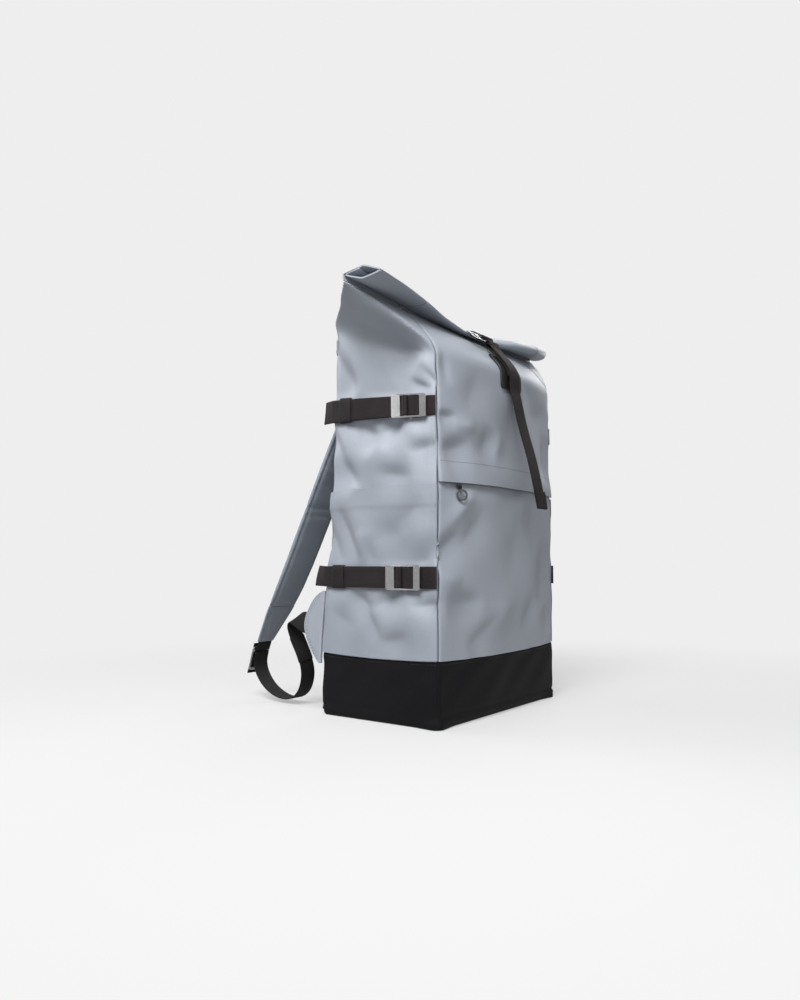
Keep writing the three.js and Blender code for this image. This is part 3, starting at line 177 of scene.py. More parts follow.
ROLL = table(
    "along y z width height droop flat",
    (-1.0, -27, 5.2, 57, 18, 6, 1.75),
    (-0.86, -26, 3.8, 52, 15, 6, 1.5),
    (-0.64, -21.5, 1.6, 44, 12, 9, 1.12),
    (-0.4, -15.5, -1.2, 34, 9.5, 16, 0.9),
    (-0.16, -11.5, -1.8, 27, 8, 22, 0.85),
    (0, -11, -1.4, 26, 7.5, 24, 0.85),
    (0.12, -11.5, 0.4, 27, 10, 24, 0.8),
    (0.34, -15.5, 4, 38, 16, 18, 0.8),
    (0.64, -18, 6.5, 44, 19, 12, 0.85),
    (0.86, -15, 9, 38, 21, 8, 0.8),
    (1.0, -12, 10, 35, 23, 4, 0.8),
)

STRAP = table(
    "share x y z width thickness",
    (0.0, 0.0, 81.7, 446, 0.9, 0.55),
    (0.16, 0.3, 90, 410, 1.0, 1.0),
    (0.3, 0.62, 99, 362, 1.0, 1.0),
    (0.45, 0.85, 114, 312, 1.0, 1.0),
    (0.58, 0.96, 132, 266, 0.98, 0.85),
    (0.75, 1.0, 159, 209, 0.96, 1.0),
    (0.9, 1.0, 186, 158, 0.92, 0.9),
    (1.0, 1.0, 203.5, 128, 0.86, 0.6),
)

LOOP = [
    (-102, 240, 35, 0), (-103, 226, 19.5, 0), (-104, 207, 9.3, 0), (-105.5, 187, 5, 0),
    (-107, 169, 6.8, 0), (-109, 154, 16, 0), (-112, 144.5, 31.5, 0), (-114.5, 141.5, 48, 0),
    (-117, 145.5, 65, 0), (-119.5, 152.5, 81, 2), (-122, 158, 95, 5), (-124, 159.5, 107, 10),
    (-126, 154, 115, 24), (-127.5, 144.5, 114, 48), (-129, 133.5, 109, 72), (-130.5, 121.5, 106, 87),
    (-131.5, 110, 105, 90),
]

WING = [(0, 62), (0.24, 68), (0.56, 79.5), (0.86, 94), (1, 106), (0.97, 117), (0.82, 128),
        (0.58, 140), (0.3, 148), (0, 152)]


def column(tab, key, name, at):
    x, y = tab[key], tab[name]
    at = np.clip(np.asarray(at, float), x[0], x[-1])
    slope = np.diff(y) / np.diff(x)
    tangent = np.empty_like(y)
    tangent[0], tangent[-1] = slope[0], slope[-1]
    product = slope[:-1] * slope[1:]
    total = slope[:-1] + slope[1:]
    safe = np.where(product > 0, total, 1.0)
    tangent[1:-1] = np.where(product > 0, 2 * product / safe, 0.0)
    row = np.clip(np.searchsorted(x, at, side="left") - 1, 0, len(x) - 2)
    span = x[row + 1] - x[row]
    t = (at - x[row]) / span
    t2, t3 = t * t, t * t * t
    return ((2 * t3 - 3 * t2 + 1) * y[row] + (t3 - 2 * t2 + t) * span * tangent[row]
            + (3 * t2 - 2 * t3) * y[row + 1] + (t3 - t2) * span * tangent[row + 1])


def smooth_step(value, low, high):
    t = np.clip((np.asarray(value, float) - low) / (high - low), 0, 1)
    return t * t * (3 - 2 * t)


# ---------------------------------------------------------------- the body's skin
def section_at(height):
    share = np.asarray(height, float) / CREASE_HEIGHT
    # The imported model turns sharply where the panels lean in; the cloth bends there over about 30 mm
    reach = 0.017 * smooth_step(share, 0.8, 0.86) * (1 - smooth_step(share, 0.93, 0.985))
    read = {name: sum(0.2 * column(SECTIONS, "height", name, share + step * reach)
                      for step in (-1, -0.5, 0, 0.5, 1))
            for name in SECTIONS if name != "height"}
    front, back = read["front"] * BODY_DEPTH, read["back"] * BODY_DEPTH
    return {
        "front": front, "back": back, "half": read["half"] * BODY_WIDTH,
        "corner": np.minimum(read["corner"] * BODY_DEPTH, (back - front) / 2 - 0.01),
        "bulge": read["bulge"], "tilt": read["tilt"] * PANEL_TILT,
        "lift": read["lift"] * BODY_DEPTH, "mouth": read["mouth"],
    }


def half_outline(s):
    straight = 2 * (s["half"] - s["corner"]) + (s["back"] - s["front"] - 2 * s["corner"])
    return straight + math.pi * s["corner"]


def seam_along(s, which):
    from_middle = np.minimum(s["half"], BODY_WIDTH / 2) - SEAM_INSET * s["corner"]
    return from_middle if which == "front" else half_outline(s) - from_middle


def panel_range(panel, s):
    front, back, whole = seam_along(s, "front"), seam_along(s, "back"), 2 * half_outline(s)
    return {"front": (-front, front), "left": (front, back), "right": (-front, -back),
            "back": (back, whole - back)}[panel]


def section_point(s, along):
    side = np.where(along < 0, 1.0, -1.0)
    half, front, back, corner = s["half"], s["front"], s["back"], s["corner"]
    arc = math.pi / 2 * corner
    front_run, side_run = half - corner, back - front - 2 * corner
    r1 = np.abs(along)
    r2 = r1 - front_run
    r3 = r2 - arc
    r4 = r3 - side_run
    r5 = r4 - arc
    zones = [r1 <= front_run, r2 <= arc, r3 <= side_run, r4 <= arc]
    turn2, turn4 = r2 / corner, r4 / corner
    full, side_full = front_run + arc / 2, side_run / 2 + arc / 2

    def swell(share, power=2.2):
        return 1 - np.minimum(np.abs(share), 1) ** power

    def side_swell(off_middle):
        return SIDE_BULGE * swell(off_middle / side_full, 2)

    x = np.select(zones, [r1, front_run + corner * np.sin(turn2), half, front_run + corner * np.cos(turn4)],
                  front_run - r5)
    y = np.select(zones, [front, front + corner - corner * np.cos(turn2), front + corner + r3,
                          back - corner + corner * np.sin(turn4)], back)
    nx = np.select(zones, [0 * x, np.sin(turn2), 1 + 0 * x, np.cos(turn4)], 0.0)
    ny = np.select(zones, [-1 + 0 * x, -np.cos(turn2), 0 * x, np.sin(turn4)], 1.0)
    swollen = np.select(zones, [
        FRONT_BULGE * swell(r1 / full),
        FRONT_BULGE * swell((front_run + r2) / full) + side_swell(side_run / 2 + arc - r2),
        side_swell(r3 - side_run / 2),
        BACK_BULGE * swell((front_run + arc - r4) / full) + side_swell(side_run / 2 + r4),
    ], BACK_BULGE * swell((front_run - r5) / full))
    return side * x, y, side * nx, ny, swollen * s["bulge"]


def fold_places():
    places = []
    for panel, across, height, length, width, angle, depth, skew in FOLDS:
        s = section_at(height)
        start, end = panel_range(panel, s)
        along = float(start + (end - start) * across)
        turn = math.radians(angle)
        places.append((along, height, length / 2, width / 2, math.cos(turn), math.sin(turn), depth * FOLD_GAIN, skew))
    return places


PLACES = fold_places()


def fold_depth(along, height, whole):
    depth = np.zeros(np.broadcast(along, height).shape)
    for centre, level, half, wide, cos, sin, deep, skew in PLACES:
        across = along - centre
        across = across - whole * np.round(across / whole)
        up = height - level
        lengthwise = (up * sin - across * cos) / half
        crosswise = (across * sin + up * cos) / wide
        crosswise = crosswise * (1 + skew * np.tanh(2 * crosswise))
        fade = np.clip(1 - lengthwise ** 2, 0, 1) ** 2
        depth += deep * fade * np.exp(-np.abs(crosswise) ** 1.7)
    return depth


# The side straps hold the cloth beneath them nearly flat
def strap_hold(along, height, s):
    on_side = smooth_step(np.abs(along), seam_along(s, "front") - 4, seam_along(s, "front") + 6)
    near = sum(np.exp(-((height - level) / 15.0) ** 4) for level in (UPPER_STRAP, LOWER_STRAP))
    return 1 - 0.8 * on_side * near


# Fine puckers along seams and under the straps, from a few fixed waves
def puckers(along, height, s):
    front, back = seam_along(s, "front"), seam_along(s, "back")
    reach = np.abs(along)
    off_front, off_back = np.abs(reach - front), np.abs(reach - back)
    wave = (np.sin(height / 7.3 + 1.3 * np.sin(height / 31.0) + 0.04 * reach)
            + 0.6 * np.sin(height / 11.7 + 2.1 + 0.07 * reach))
    near = np.exp(-off_front / 7.0) + np.exp(-off_back / 7.0)
    depth = 0.4 * wave * near * smooth_step(height, 80, 120) * (1 - smooth_step(height, 440, 470))
    side_zone = smooth_step(reach, front + 3, front + 14) * (1 - smooth_step(reach, back - 12, back - 3))
    for level in (UPPER_STRAP, LOWER_STRAP):
        off = np.abs(height - level)
        ruffle = np.sin(reach / 8.5 + level + 0.8 * np.sin(reach / 23.0)) + 0.5 * np.sin(reach / 5.1 + level)
        edge = np.exp(-((off - 20) / 8.0) ** 2)
        bulge = np.exp(-((off - 50) / 27.0) ** 2)
        depth = depth + side_zone * (2.4 * np.exp(-(off / 20.0) ** 2) - 3.6 * bulge + 0.35 * ruffle * edge)
    low = np.exp(-np.abs(height - BASE_HEIGHT) / 9.0)
    depth = depth + 0.45 * low * (np.sin(reach / 9.7 + 0.5) + 0.6 * np.sin(reach / 5.9 + 1.9))
    swell = np.sin(along / 37.0 + 0.9) * np.sin(height / 41.0 + 0.3) + 0.6 * np.sin(along / 21.0 + height / 33.0)
    return depth + 0.45 * swell * smooth_step(height, 60, 110) * (1 - s["mouth"])


def skin(along, height, relief=1.0):
    along, height = np.broadcast_arrays(np.asarray(along, float), np.asarray(height, float))
    s = section_at(height)
    half = half_outline(s)
    wrapped = (along + half) % (2 * half) - half
    x, y, nx, ny, out = section_point(s, wrapped)
    if relief:
        pressed = fold_depth(wrapped, height, 2 * half) * strap_hold(wrapped, height, s) + puckers(wrapped, height, s)
        out = out - relief * (1 - s["mouth"]) * pressed
    inward = 1 - np.minimum(np.abs(x) / s["half"], 1) ** 2
    py = y + ny * out - MOUTH_BOW * s["mouth"] * inward
    back_share = np.maximum((y - s["front"]) / (s["back"] - s["front"]), 0)
    pz = (height + s["tilt"] * (py - (s["front"] + s["back"]) / 2) + s["lift"] * back_share ** 2
          - MOUTH_SAG * s["mouth"] * inward)
    return np.stack([x + nx * out, py, pz], -1)


def unit(v):
    return v / np.maximum(np.linalg.norm(v, axis=-1, keepdims=True), 1e-9)


def skin_normal(along, height, relief=1.0, step=0.4):
    across = skin(along + step, height, relief) - skin(along - step, height, relief)
    top = np.minimum(height + step, CREASE_HEIGHT)
    low = np.maximum(height - step, 0)
    return unit(np.cross(skin(along, top, relief) - skin(along, low, relief), across))


def skin_off(along, height, offset, relief=1.0):
    return skin(along, height, relief) + skin_normal(along, height, relief) * np.asarray(offset)[..., None]


# ---------------------------------------------------------------- mesh helpers
def add_object(name, data):
    obj = bpy.data.objects.new(name, data)
    bpy.context.scene.collection.objects.link(obj)
    return obj


def add_mesh(name, points, faces, material, slot, sharp=45.0, lay=None, replaced=(), bevel=0.0):
    mesh = bpy.data.meshes.new(name)
    mesh.from_pydata((np.asarray(points) * MM).tolist(), [], faces)
    work = bmesh.new()
    work.from_mesh(mesh)
    bmesh.ops.recalc_face_normals(work, faces=work.faces)
    work.to_mesh(mesh)
    work.free()
    mesh.shade_smooth()
    mesh.set_sharp_from_angle(angle=math.radians(sharp))
    if lay is not None:
        layer = mesh.attributes.new("lay", "FLOAT_VECTOR", "POINT")
        layer.data.foreach_set("vector", (np.asarray(lay) * MM).astype(np.float32).ravel())
    obj = add_object(name, mesh)
    mesh.materials.append(material)
    if bevel:
        round_edges(obj, bevel)
    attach(obj, "root")
    if replaced:
        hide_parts(*replaced)
    return obj


def round_edges(obj, width, segments=2, angle=40.0, harden=False):
    modifier = obj.modifiers.new("round", "BEVEL")
    modifier.width = width * MM
    modifier.segments = segments
    modifier.limit_method = "ANGLE"
    modifier.angle_limit = math.radians(angle)
    modifier.harden_normals = harden


def run_lengths(path):
    return np.concatenate([[0], np.cumsum(np.linalg.norm(np.diff(path, axis=0), axis=1))])


def at_distance(values, reach, distance):
    return np.stack([np.interp(distance, reach, values[:, k]) for k in range(values.shape[1])], -1)


def grid_faces(rows, columns, start=0, closed=False):
    i, j = np.meshgrid(np.arange(rows - 1), np.arange(columns if closed else columns - 1), indexing="ij")
    nxt = (j + 1) % columns
    a, b = start + i * columns + j, start + i * columns + nxt
    c, d = a + columns, b + columns
    return np.stack([a, b, d, c], -1).reshape(-1, 4)

def tube_faces(rows, columns):
    """A tube closed at both ends on two middle points, which follow its rings in the list of points."""
    faces = grid_faces(rows, columns, closed=True).tolist()
    first, last, final = rows * columns, rows * columns + 1, (rows - 1) * columns
    for j in range(columns):
        after = (j + 1) % columns
        faces += [[first, after, j], [last, final + j, final + after]]
    return faces
def sheet_mesh(outer, inner):
    rows, columns = outer.shape[:2]
    count = rows * columns
    top = grid_faces(rows, columns)
    low = grid_faces(rows, columns, count)[:, ::-1]
    index = np.arange(count).reshape(rows, columns)
    rim = np.concatenate([index[0, :-1], index[:-1, -1], index[-1, :0:-1], index[:0:-1, 0]])
    after = np.roll(rim, -1)
    wall = np.stack([rim, rim + count, after + count, after], -1)
    faces = np.concatenate([top, low, wall]).tolist()
    return np.concatenate([outer.reshape(-1, 3), inner.reshape(-1, 3)]), faces


def add_sheet(name, outer, inner, material, slot, lay=None, **more):
    points, faces = sheet_mesh(outer, inner)
    if lay is not None:
        flat = lay.reshape(-1, 3)
        more["lay"] = np.concatenate([flat, flat])
    return add_mesh(name, points, faces, material, slot, **more)


# ---------------------------------------------------------------- materials
class Tree:
    """The nodes of a material or of the world, with what several materials share."""

    def __init__(self, owner):
        owner.use_nodes = True
        self.owner, self.nodes, self.links = owner, owner.node_tree.nodes, owner.node_tree.links

    def feed(self, node, inputs):
        for socket, value in inputs.items():
            if hasattr(value, "is_linked"):
                self.links.new(value, node.inputs[socket])
            else:
                node.inputs[socket].default_value = value

    def node(self, kind, inputs=None, **settings):
        made = self.nodes.new("ShaderNode" + kind)
        for key, value in settings.items():
            setattr(made, key, value)
        self.feed(made, inputs or {})
        return made

    def principled(self, inputs):
        self.feed(self.nodes["Principled BSDF"], inputs)
        return self.owner

    def place(self):
        return self.node("TexCoord").outputs["Object"]

    def lay(self):
        return self.node("Attribute", attribute_name="lay").outputs["Vector"]

    def noise(self, source, scale, detail=3.0, rough=0.55):
        inputs = {"Vector": source, "Scale": scale, "Detail": detail, "Roughness": rough}
        return self.node("TexNoise", inputs).outputs["Fac"]

    def ramp(self, source, *stops):
        """Each stop is a place and a colour, or a number for a grey."""
        made = self.node("ValToRGB", {"Fac": source})
        for element, (at, colour) in zip(made.color_ramp.elements, stops):
            element.position = at
            element.color = (*colour, 1) if isinstance(colour, tuple) else (colour, colour, colour, 1)
        return made.outputs["Color"]

    def blend(self, kind, factor, first, second):
        made = self.node("Mix", data_type="RGBA", blend_type=kind)
        self.feed(made, {0: factor, 6: first, 7: second})
        return made.outputs[2]

    def bump(self, *layers):
        before = {}
        for height, strength, distance in layers:
            made = self.node("Bump", {"Strength": strength, "Distance": distance * MM, "Height": height, **before})
            before = {"Normal": made.outputs["Normal"]}
        return before["Normal"]

    def weave(self, source, pitch, turn=0.0):
        turned = self.node("Mapping", {"Vector": source, "Rotation": (0, 0, turn)}).outputs["Vector"]
        inputs = {"Vector": turned, "Scale": 2 * math.pi / 20 / (pitch * MM), "Distortion": 0.3, "Detail": 0}
        waves = [self.node("TexWave", inputs, wave_type="BANDS", wave_profile="SIN", bands_direction=axis)
                 for axis in ("X", "Y")]
        both = {i: wave.outputs["Fac"] for i, wave in enumerate(waves)}
        return self.node("Math", both, operation="MULTIPLY").outputs[0]


def cloth_material(name, dark, light, rough, sheen, weave_depth=0.02, flecks=None, coat=0.0, specular=0.42):
    tree = Tree(bpy.data.materials.new(name))
    place, lay = tree.place(), tree.lay()
    broad, fine = tree.noise(place, 9.0, 4.0), tree.noise(place, 900.0, 3.0, 0.65)
    grain = tree.noise(place, 2400.0, 2.0, 0.6)
    base = tree.ramp(broad, (0.32, dark), (0.68, light))
    colour = tree.blend("MULTIPLY", 1.0, base, tree.ramp(fine, (0.3, 0.93), (0.72, (1.04, 1.04, 1.05))))
    if flecks is not None:
        spots = tree.ramp(tree.noise(place, 320.0, 1.0, 0.4), (0.72, 0), (0.78, 1))
        colour = tree.blend("MIX", spots, colour, (*flecks, 1))
    # The third number of "lay" is how deep in a seam a point is, and the colour is darkened by it: painted shade in the
    # seam lines
    seam = tree.node("SeparateXYZ", {0: lay}).outputs["Z"]
    # Painted shade: along a seam the colour falls to about 0.42 of itself
    colour = tree.blend("MULTIPLY", 1.0, colour, tree.ramp(seam, (0.05, 1), (0.9, (0.42, 0.42, 0.44))))
    relief = tree.bump((tree.weave(lay, 0.55), 0.35, weave_depth), (fine, 0.35, 0.05), (grain, 0.25, 0.03))
    return tree.principled({
        "Base Color": colour, "Roughness": tree.ramp(broad, (0.3, rough - 0.05), (0.7, rough + 0.05)),
        "Sheen Weight": sheen, "Sheen Roughness": 0.45, "Coat Weight": coat, "Coat Roughness": 0.5,
        "Specular IOR Level": specular, "Normal": relief,
    })


def webbing_material(name, dark, light):
    tree = Tree(bpy.data.materials.new(name))
    place, lay = tree.place(), tree.lay()
    ribs, twill = tree.weave(lay, 1.5), tree.weave(lay, 0.8, math.radians(45))
    fuzz, broad = tree.noise(place, 1600.0, 3.0, 0.7), tree.noise(place, 28.0)
    base = tree.ramp(broad, (0.35, dark), (0.65, light))
    return tree.principled({
        "Base Color": tree.blend("MULTIPLY", 1.0, base, tree.ramp(ribs, (0.0, 0.72), (0.6, 1.1))),
        "Roughness": tree.ramp(fuzz, (0.3, 0.6), (0.7, 0.78)),
        "Sheen Weight": 0.03, "Sheen Roughness": 0.4, "Specular IOR Level": 0.22,
        "Normal": tree.bump((ribs, 0.8, 0.25), (twill, 0.5, 0.12), (fuzz, 0.3, 0.06)),
    })


def metal_material(name, colour, rough, brushed=1.0):
    tree = Tree(bpy.data.materials.new(name))
    place = tree.place()
    stretched = tree.node("Mapping", {"Vector": place, "Scale": (1, 1, brushed)}).outputs["Vector"]
    lines, smudge = tree.noise(stretched, 500.0, 4.0, 0.7), tree.noise(place, 60.0)
    return tree.principled({
        "Base Color": tree.ramp(smudge, (0.3, tuple(c * 0.88 for c in colour)), (0.7, colour)),
        "Metallic": 1.0, "Roughness": tree.ramp(lines, (0.25, rough - 0.07), (0.75, rough + 0.09)),
        "Normal": tree.bump((lines, 0.3, 0.02), (smudge, 0.1, 0.05)),
    })


def leather_material(name, dark, light):
    tree = Tree(bpy.data.materials.new(name))
    place = tree.place()
    cells = tree.node("TexVoronoi", {"Vector": place, "Scale": 900.0}, feature="DISTANCE_TO_EDGE")
    broad, fine = tree.noise(place, 60.0, 4.0), tree.noise(place, 1500.0)
    return tree.principled({
        "Base Color": tree.ramp(broad, (0.3, dark), (0.7, light)),
        "Roughness": tree.ramp(broad, (0.3, 0.42), (0.7, 0.55)),
        "Normal": tree.bump((cells.outputs["Distance"], 0.5, 0.12), (fine, 0.3, 0.04)),
    })


fabric = cloth_material("coated cloth", (0.29, 0.316, 0.36), (0.315, 0.342, 0.388), 0.5, 0.06, coat=0.06)
# The side pockets' cloth is the body's cloth made darker: painted shade over the pockets
shaded_pocket_fabric = cloth_material("shaded pocket cloth", (0.252, 0.275, 0.314), (0.274, 0.298, 0.338), 0.5, 0.06, coat=0.06)
pad_fabric = cloth_material("pad cloth", (0.235, 0.262, 0.305), (0.26, 0.288, 0.33), 0.55, 0.08)
base_fabric = cloth_material("base cloth", (0.0040, 0.0037, 0.0046), (0.0062, 0.0058, 0.0072), 0.55, 0.0,
                             weave_depth=0.04, flecks=(0.012, 0.011, 0.012), specular=0.14)
webbing = webbing_material("webbing", (0.0125, 0.0085, 0.0095), (0.0185, 0.0130, 0.0143))
black_webbing = webbing_material("dark webbing", (0.0060, 0.0052, 0.0058), (0.0098, 0.0085, 0.0092))
silver = metal_material("brushed silver", (0.86, 0.86, 0.87), 0.22, brushed=14.0)
steel = metal_material("small steel", (0.42, 0.42, 0.43), 0.3)
gunmetal = metal_material("gunmetal", (0.17, 0.17, 0.18), 0.26)
dark_steel = metal_material("dark steel", (0.075, 0.075, 0.08), 0.24)
leather = leather_material("black patch", (0.0062, 0.006, 0.0065), (0.0115, 0.011, 0.012))
thread = cloth_material("thread", (0.105, 0.12, 0.145), (0.14, 0.155, 0.18), 0.6, 0.1)
# Real dark thread, and also the near-black of the tapes behind the seams, painted shade
dark_thread_and_shade = cloth_material("dark thread and seam shade", (0.028, 0.024, 0.025), (0.04, 0.034, 0.035), 0.6, 0.1)


# ---------------------------------------------------------------- stitches
STITCH_SIDES = 6
# Share of a stitch's length, and of its full radius there
STITCH_PROFILE = [(0.0, 0.25), (0.22, 0.85), (0.5, 1.0), (0.78, 0.85), (1.0, 0.25)]
STITCH_LIFT = 0.05


def stitches(name, path, normals, material, slot, pitch=4.4, length=2.9, radius=0.45):
    path, normals = np.asarray(path, float), unit(np.asarray(normals, float))
    reach = run_lengths(path)
    count = max(int(reach[-1] // pitch), 1)
    starts = (np.arange(count) + 0.5) * reach[-1] / count - length / 2
    head, tail = at_distance(path, reach, starts), at_distance(path, reach, starts + length)
    up = unit(at_distance(normals, reach, starts + length / 2))
    wide = unit(np.cross(unit(tail - head), up))
    ring = (np.arange(STITCH_SIDES) * 2 * math.pi / STITCH_SIDES)[None, :, None]
    shape = []
    for share, size in STITCH_PROFILE:
        middle = head + (tail - head) * share + up * (STITCH_LIFT + radius * (size - 1) * 0.6)
        shape.append(middle[:, None, :] + radius * size * (np.cos(ring) * wide[:, None, :]
                                                         + 0.75 * np.sin(ring) * up[:, None, :]))
    each = len(STITCH_PROFILE) * STITCH_SIDES
    faces = []
    for offset in range(0, count * each, each):
        faces += grid_faces(len(STITCH_PROFILE), STITCH_SIDES, offset, closed=True).tolist()
        faces.append([offset + i for i in range(STITCH_SIDES)][::-1])
        faces.append([offset + each - STITCH_SIDES + i for i in range(STITCH_SIDES)])
    add_mesh(name, np.stack(shape, 1).reshape(-1, 3), faces, material, slot, sharp=60)


# ---------------------------------------------------------------- body panels
def base_seam(share):
    return BASE_HEIGHT + 2.0 * ((2 * np.abs(share - 0.5)) ** 2 - 0.5)


def spread(count):
    """Shares from 0 to 1, closer together at the two ends."""
    t = np.linspace(0, 1, count)
    return t - 0.6 * t * (1 - t) * (1 - 2 * t)


def panel_grid(panel, low, high, offset, columns, rows, inset=0.0):
    share, level = np.meshgrid(spread(columns), np.linspace(0, 1, rows))
    height = low(share) + (high(share) - low(share)) * level
    start, end = panel_range(panel, section_at(height))
    trim = np.sign(end - start) * (SEAM_GAP / 2 + 0.25 * inset)
    along = start + trim + (end - start - 2 * trim) * share
    edge = np.minimum(np.abs(along - start), np.abs(along - end))
    dip = SEAM_DIP * np.exp(-(edge / 2.0) ** 1.4)
    points = skin_off(along, height, offset(height, share) - inset - dip)
    # The third number marks the cloth next to each seam for painted shade in the seam line
    return points, np.stack([along, height, 1000 * np.exp(-(edge / 1.1) ** 2)], -1)


def panel_piece(name, packed, panel, low, high, offset, columns, rows, material=fabric, bevel=0.35):
    outer, lay = panel_grid(panel, low, high, offset, columns, rows)
    inner, _ = panel_grid(panel, low, high, offset, columns, rows, inset=CLOTH)
    add_sheet(name, outer, inner, material, "coated_fabric", lay=lay, replaced=(packed,), bevel=bevel)


def flush(height, share):
    return 0 * height


def bottom(share):
    return base_seam(share) + SEAM_GAP / 2


def top(share):
    return CREASE_HEIGHT + 0 * share


def hem_line(share):
    return HEM_HEIGHT + 1.5 * np.sin(math.pi * share)


def pocket_line(share):
    return POCKET_HEIGHT - 3 * share * share


def under_flap(share):
    return HEM_HEIGHT + 12 + 0 * share


def front_pocket_dip(height, share):
    """The front pocket's top sinks under the flap, but hardly at all beside the seams."""
    off_seam = smooth_step(np.minimum(share, 1 - share), 0, 0.05)
    return -smooth_step(height, HEM_HEIGHT - 22, HEM_HEIGHT + 12) * (0.3 + 3.1 * off_seam)


def flap_stand(height, share):
    return FLAP_STAND_OFF * (1 - smooth_step(height, HEM_HEIGHT, HEM_HEIGHT + 42))


def pocket_stand(height, share):
    """A side pocket has a thicker hem, and its mouth bows outwards."""
    hem = 0.6 * smooth_step(height, POCKET_HEIGHT - 27, POCKET_HEIGHT - 23)
    return LAY_GAP + CLOTH + hem + POCKET_BOW * smooth_step(height, 188, 276) * np.sin(math.pi * share)


def build_body():
    panel_piece("back_cloth", "back_panel", "back", bottom, top, flush, 84, 130)
    for side in ("left", "right"):
        panel_piece(f"side_cloth_{side}", f"side_panel_{side}", side, bottom, top, flush, 72, 190)
        panel_piece(f"pocket_cloth_{side}", f"side_pocket_{side}", side, lambda share: bottom(share) + 1, pocket_line,
                    pocket_stand, 72, 92, shaded_pocket_fabric, 0.75)
    panel_piece("pocket_front_cloth", "front_pocket", "front", bottom, under_flap, front_pocket_dip, 112, 96)
    panel_piece("flap_cloth", "front_flap_panel", "front", hem_line, top, flap_stand, 112, 100)


def build_shade_tapes():
    """Dark tape behind each upright seam, which closes the view into the bag and is painted shade seen through the
    seam's gap.
    """
    level = np.linspace(BASE_HEIGHT + 2, SHADE_TAPE_TOP * CREASE_HEIGHT, 120)
    across = np.linspace(-2, 2, 5)[:, None]
    lay = np.stack(np.broadcast_arrays(across.T, level[:, None], 0.0), -1)
    for which, y_in in (("front", 1), ("back", -1)):
        for side, x_in in (("left", 1), ("right", -1)):
            seam = skin(x_in * seam_along(section_at(level), which), level)[:, None]
            inward, sideways = np.array([x_in, y_in, 0]) / math.sqrt(2), np.array([x_in, -y_in, 0]) / math.sqrt(2)
            tape = [seam + inward * depth + sideways * across for depth in SHADE_TAPE_DEPTHS]
            # Painted shade: a near-black sheet where the seam's own shade would be
            add_sheet(f"seam_shade_tape_{which}_{side}", *tape, dark_thread_and_shade, "coated_fabric", lay=lay)


def stitch_row(name, panel, line, offset, material=thread, slot="coated_fabric", **more):
    share = np.linspace(0.01, 0.99, 160)
    height = line(share)
    start, end = panel_range(panel, section_at(height))
    along = start + (end - start) * share
    path = skin_off(along, height, offset(height, share))
    stitches(name, path, skin_normal(along, height), material, slot, **more)


def build_stitch_rows():
    """Rows of stitching on the flap's hem, the side pockets' hems and the black base's seam."""
    stitch_row("stitch_flap", "front", lambda share: hem_line(share) + HEM_WIDTH, flap_stand)
    for panel in ("left", "right", "front", "back"):
        if panel in ("left", "right"):
            stitch_row(f"stitch_pocket_{panel}", panel, lambda share: pocket_line(share) - HEM_WIDTH,
                       lambda height, share: LAY_GAP + CLOTH + 0 * height)
        stitch_row(f"stitch_base_{panel}", panel, lambda share: base_seam(share) - 3, flush, dark_thread_and_shade,
                   "base_fabric", radius=0.25)


def build_base():
    columns = {"front": 110, "left": 64, "back": 110, "right": 64}
    levels = [0.0, 0.8, 2.0, 3.6, 5.6, 8.5, 12, 16, 20, 25, 30, 35, 40, 45, 50, 55, 60, 64, 67.5, 70.5]

    def ring(height_of, offset, relief):
        parts = []
        for panel in ("front", "left", "back", "right"):
            share = np.arange(columns[panel]) / columns[panel]
            if panel == "right":
                share = 1 - share
            height = height_of(share)
            start, end = panel_range(panel, section_at(height))
            along = start + (end - start) * share
            edge = np.minimum(share, 1 - share) * np.abs(end - start)
            dip = 1.3 * np.exp(-(edge / 1.6) ** 1.4) * (height > 4)
            welt = 0.9 * np.exp(-((height - 9.0) / 1.3) ** 2) - 0.9 * np.exp(-((height - 12.0) / 1.5) ** 2)
            soft = 0.9 * np.sin(along / 26.0 + 0.6 * np.sin(height / 14.0)) * smooth_step(height, 8, 30) \
                + 0.5 * np.sin(along / 11.0 + height / 9.0 + 1.0) * smooth_step(height, 10, 34)
            soft = soft * (1 - smooth_step(height, 62, 73))
            low = np.where(height < 0.5, 0.0, 1.0)
            # The bottom seam pushes out a little at each front corner
            to_corner = np.abs(np.abs(along) - seam_along(section_at(height), "front"))
            corner = 3.6 * np.exp(-(height / 7.0) ** 2) * np.exp(-(to_corner / 22.0) ** 2)
            parts.append(skin_off(along, height, offset - dip + corner + low * (welt + soft), relief))
        return np.concatenate(parts)

    def level_ring(level, offset):
        return ring(lambda share: level + 0 * share, offset, 0.0)

    rings = [level_ring(level, 0.0) for level in levels]
    rings[0][:, 2] = 0
    for points in rings:
        points[:, 2] = np.maximum(points[:, 2], 0)
    # Over the top edge, down the inside and onto the floor
    rings += [ring(lambda share: base_seam(share) - SEAM_GAP / 2, offset, 1.0) for offset in (0.0, -BASE_CLOTH)]
    rings += [level_ring(level, -BASE_CLOTH) for level in (60, 40, 20, 6)]
    rings.append(level_ring(3.0, -2 * BASE_CLOTH))
    rings[-1][:, 2] = BASE_CLOTH
    count = len(rings[0])
    points = np.concatenate(rings + [np.array([[0, 0, 0], [0, 0, BASE_CLOTH]], float)])
    lay = np.stack([np.tile(np.arange(count) * 2.6, len(rings)), points[:-2, 2], 0 * points[:-2, 2]], -1)
    lay = np.concatenate([lay, np.zeros((2, 3))])
    add_mesh("base_cloth", points, tube_faces(len(rings), count), base_fabric, "base_fabric", sharp=50, lay=lay,
             replaced=("base",))


# ---------------------------------------------------------------- the rolled mouth
def crease(share):
    inward = 1 - share ** 2
    s = section_at(CREASE_HEIGHT)
    return (share * float(s["half"]), (float(s["front"]) + float(s["back"])) / 2 - MOUTH_BOW * inward,
            CREASE_HEIGHT - MOUTH_SAG * inward)


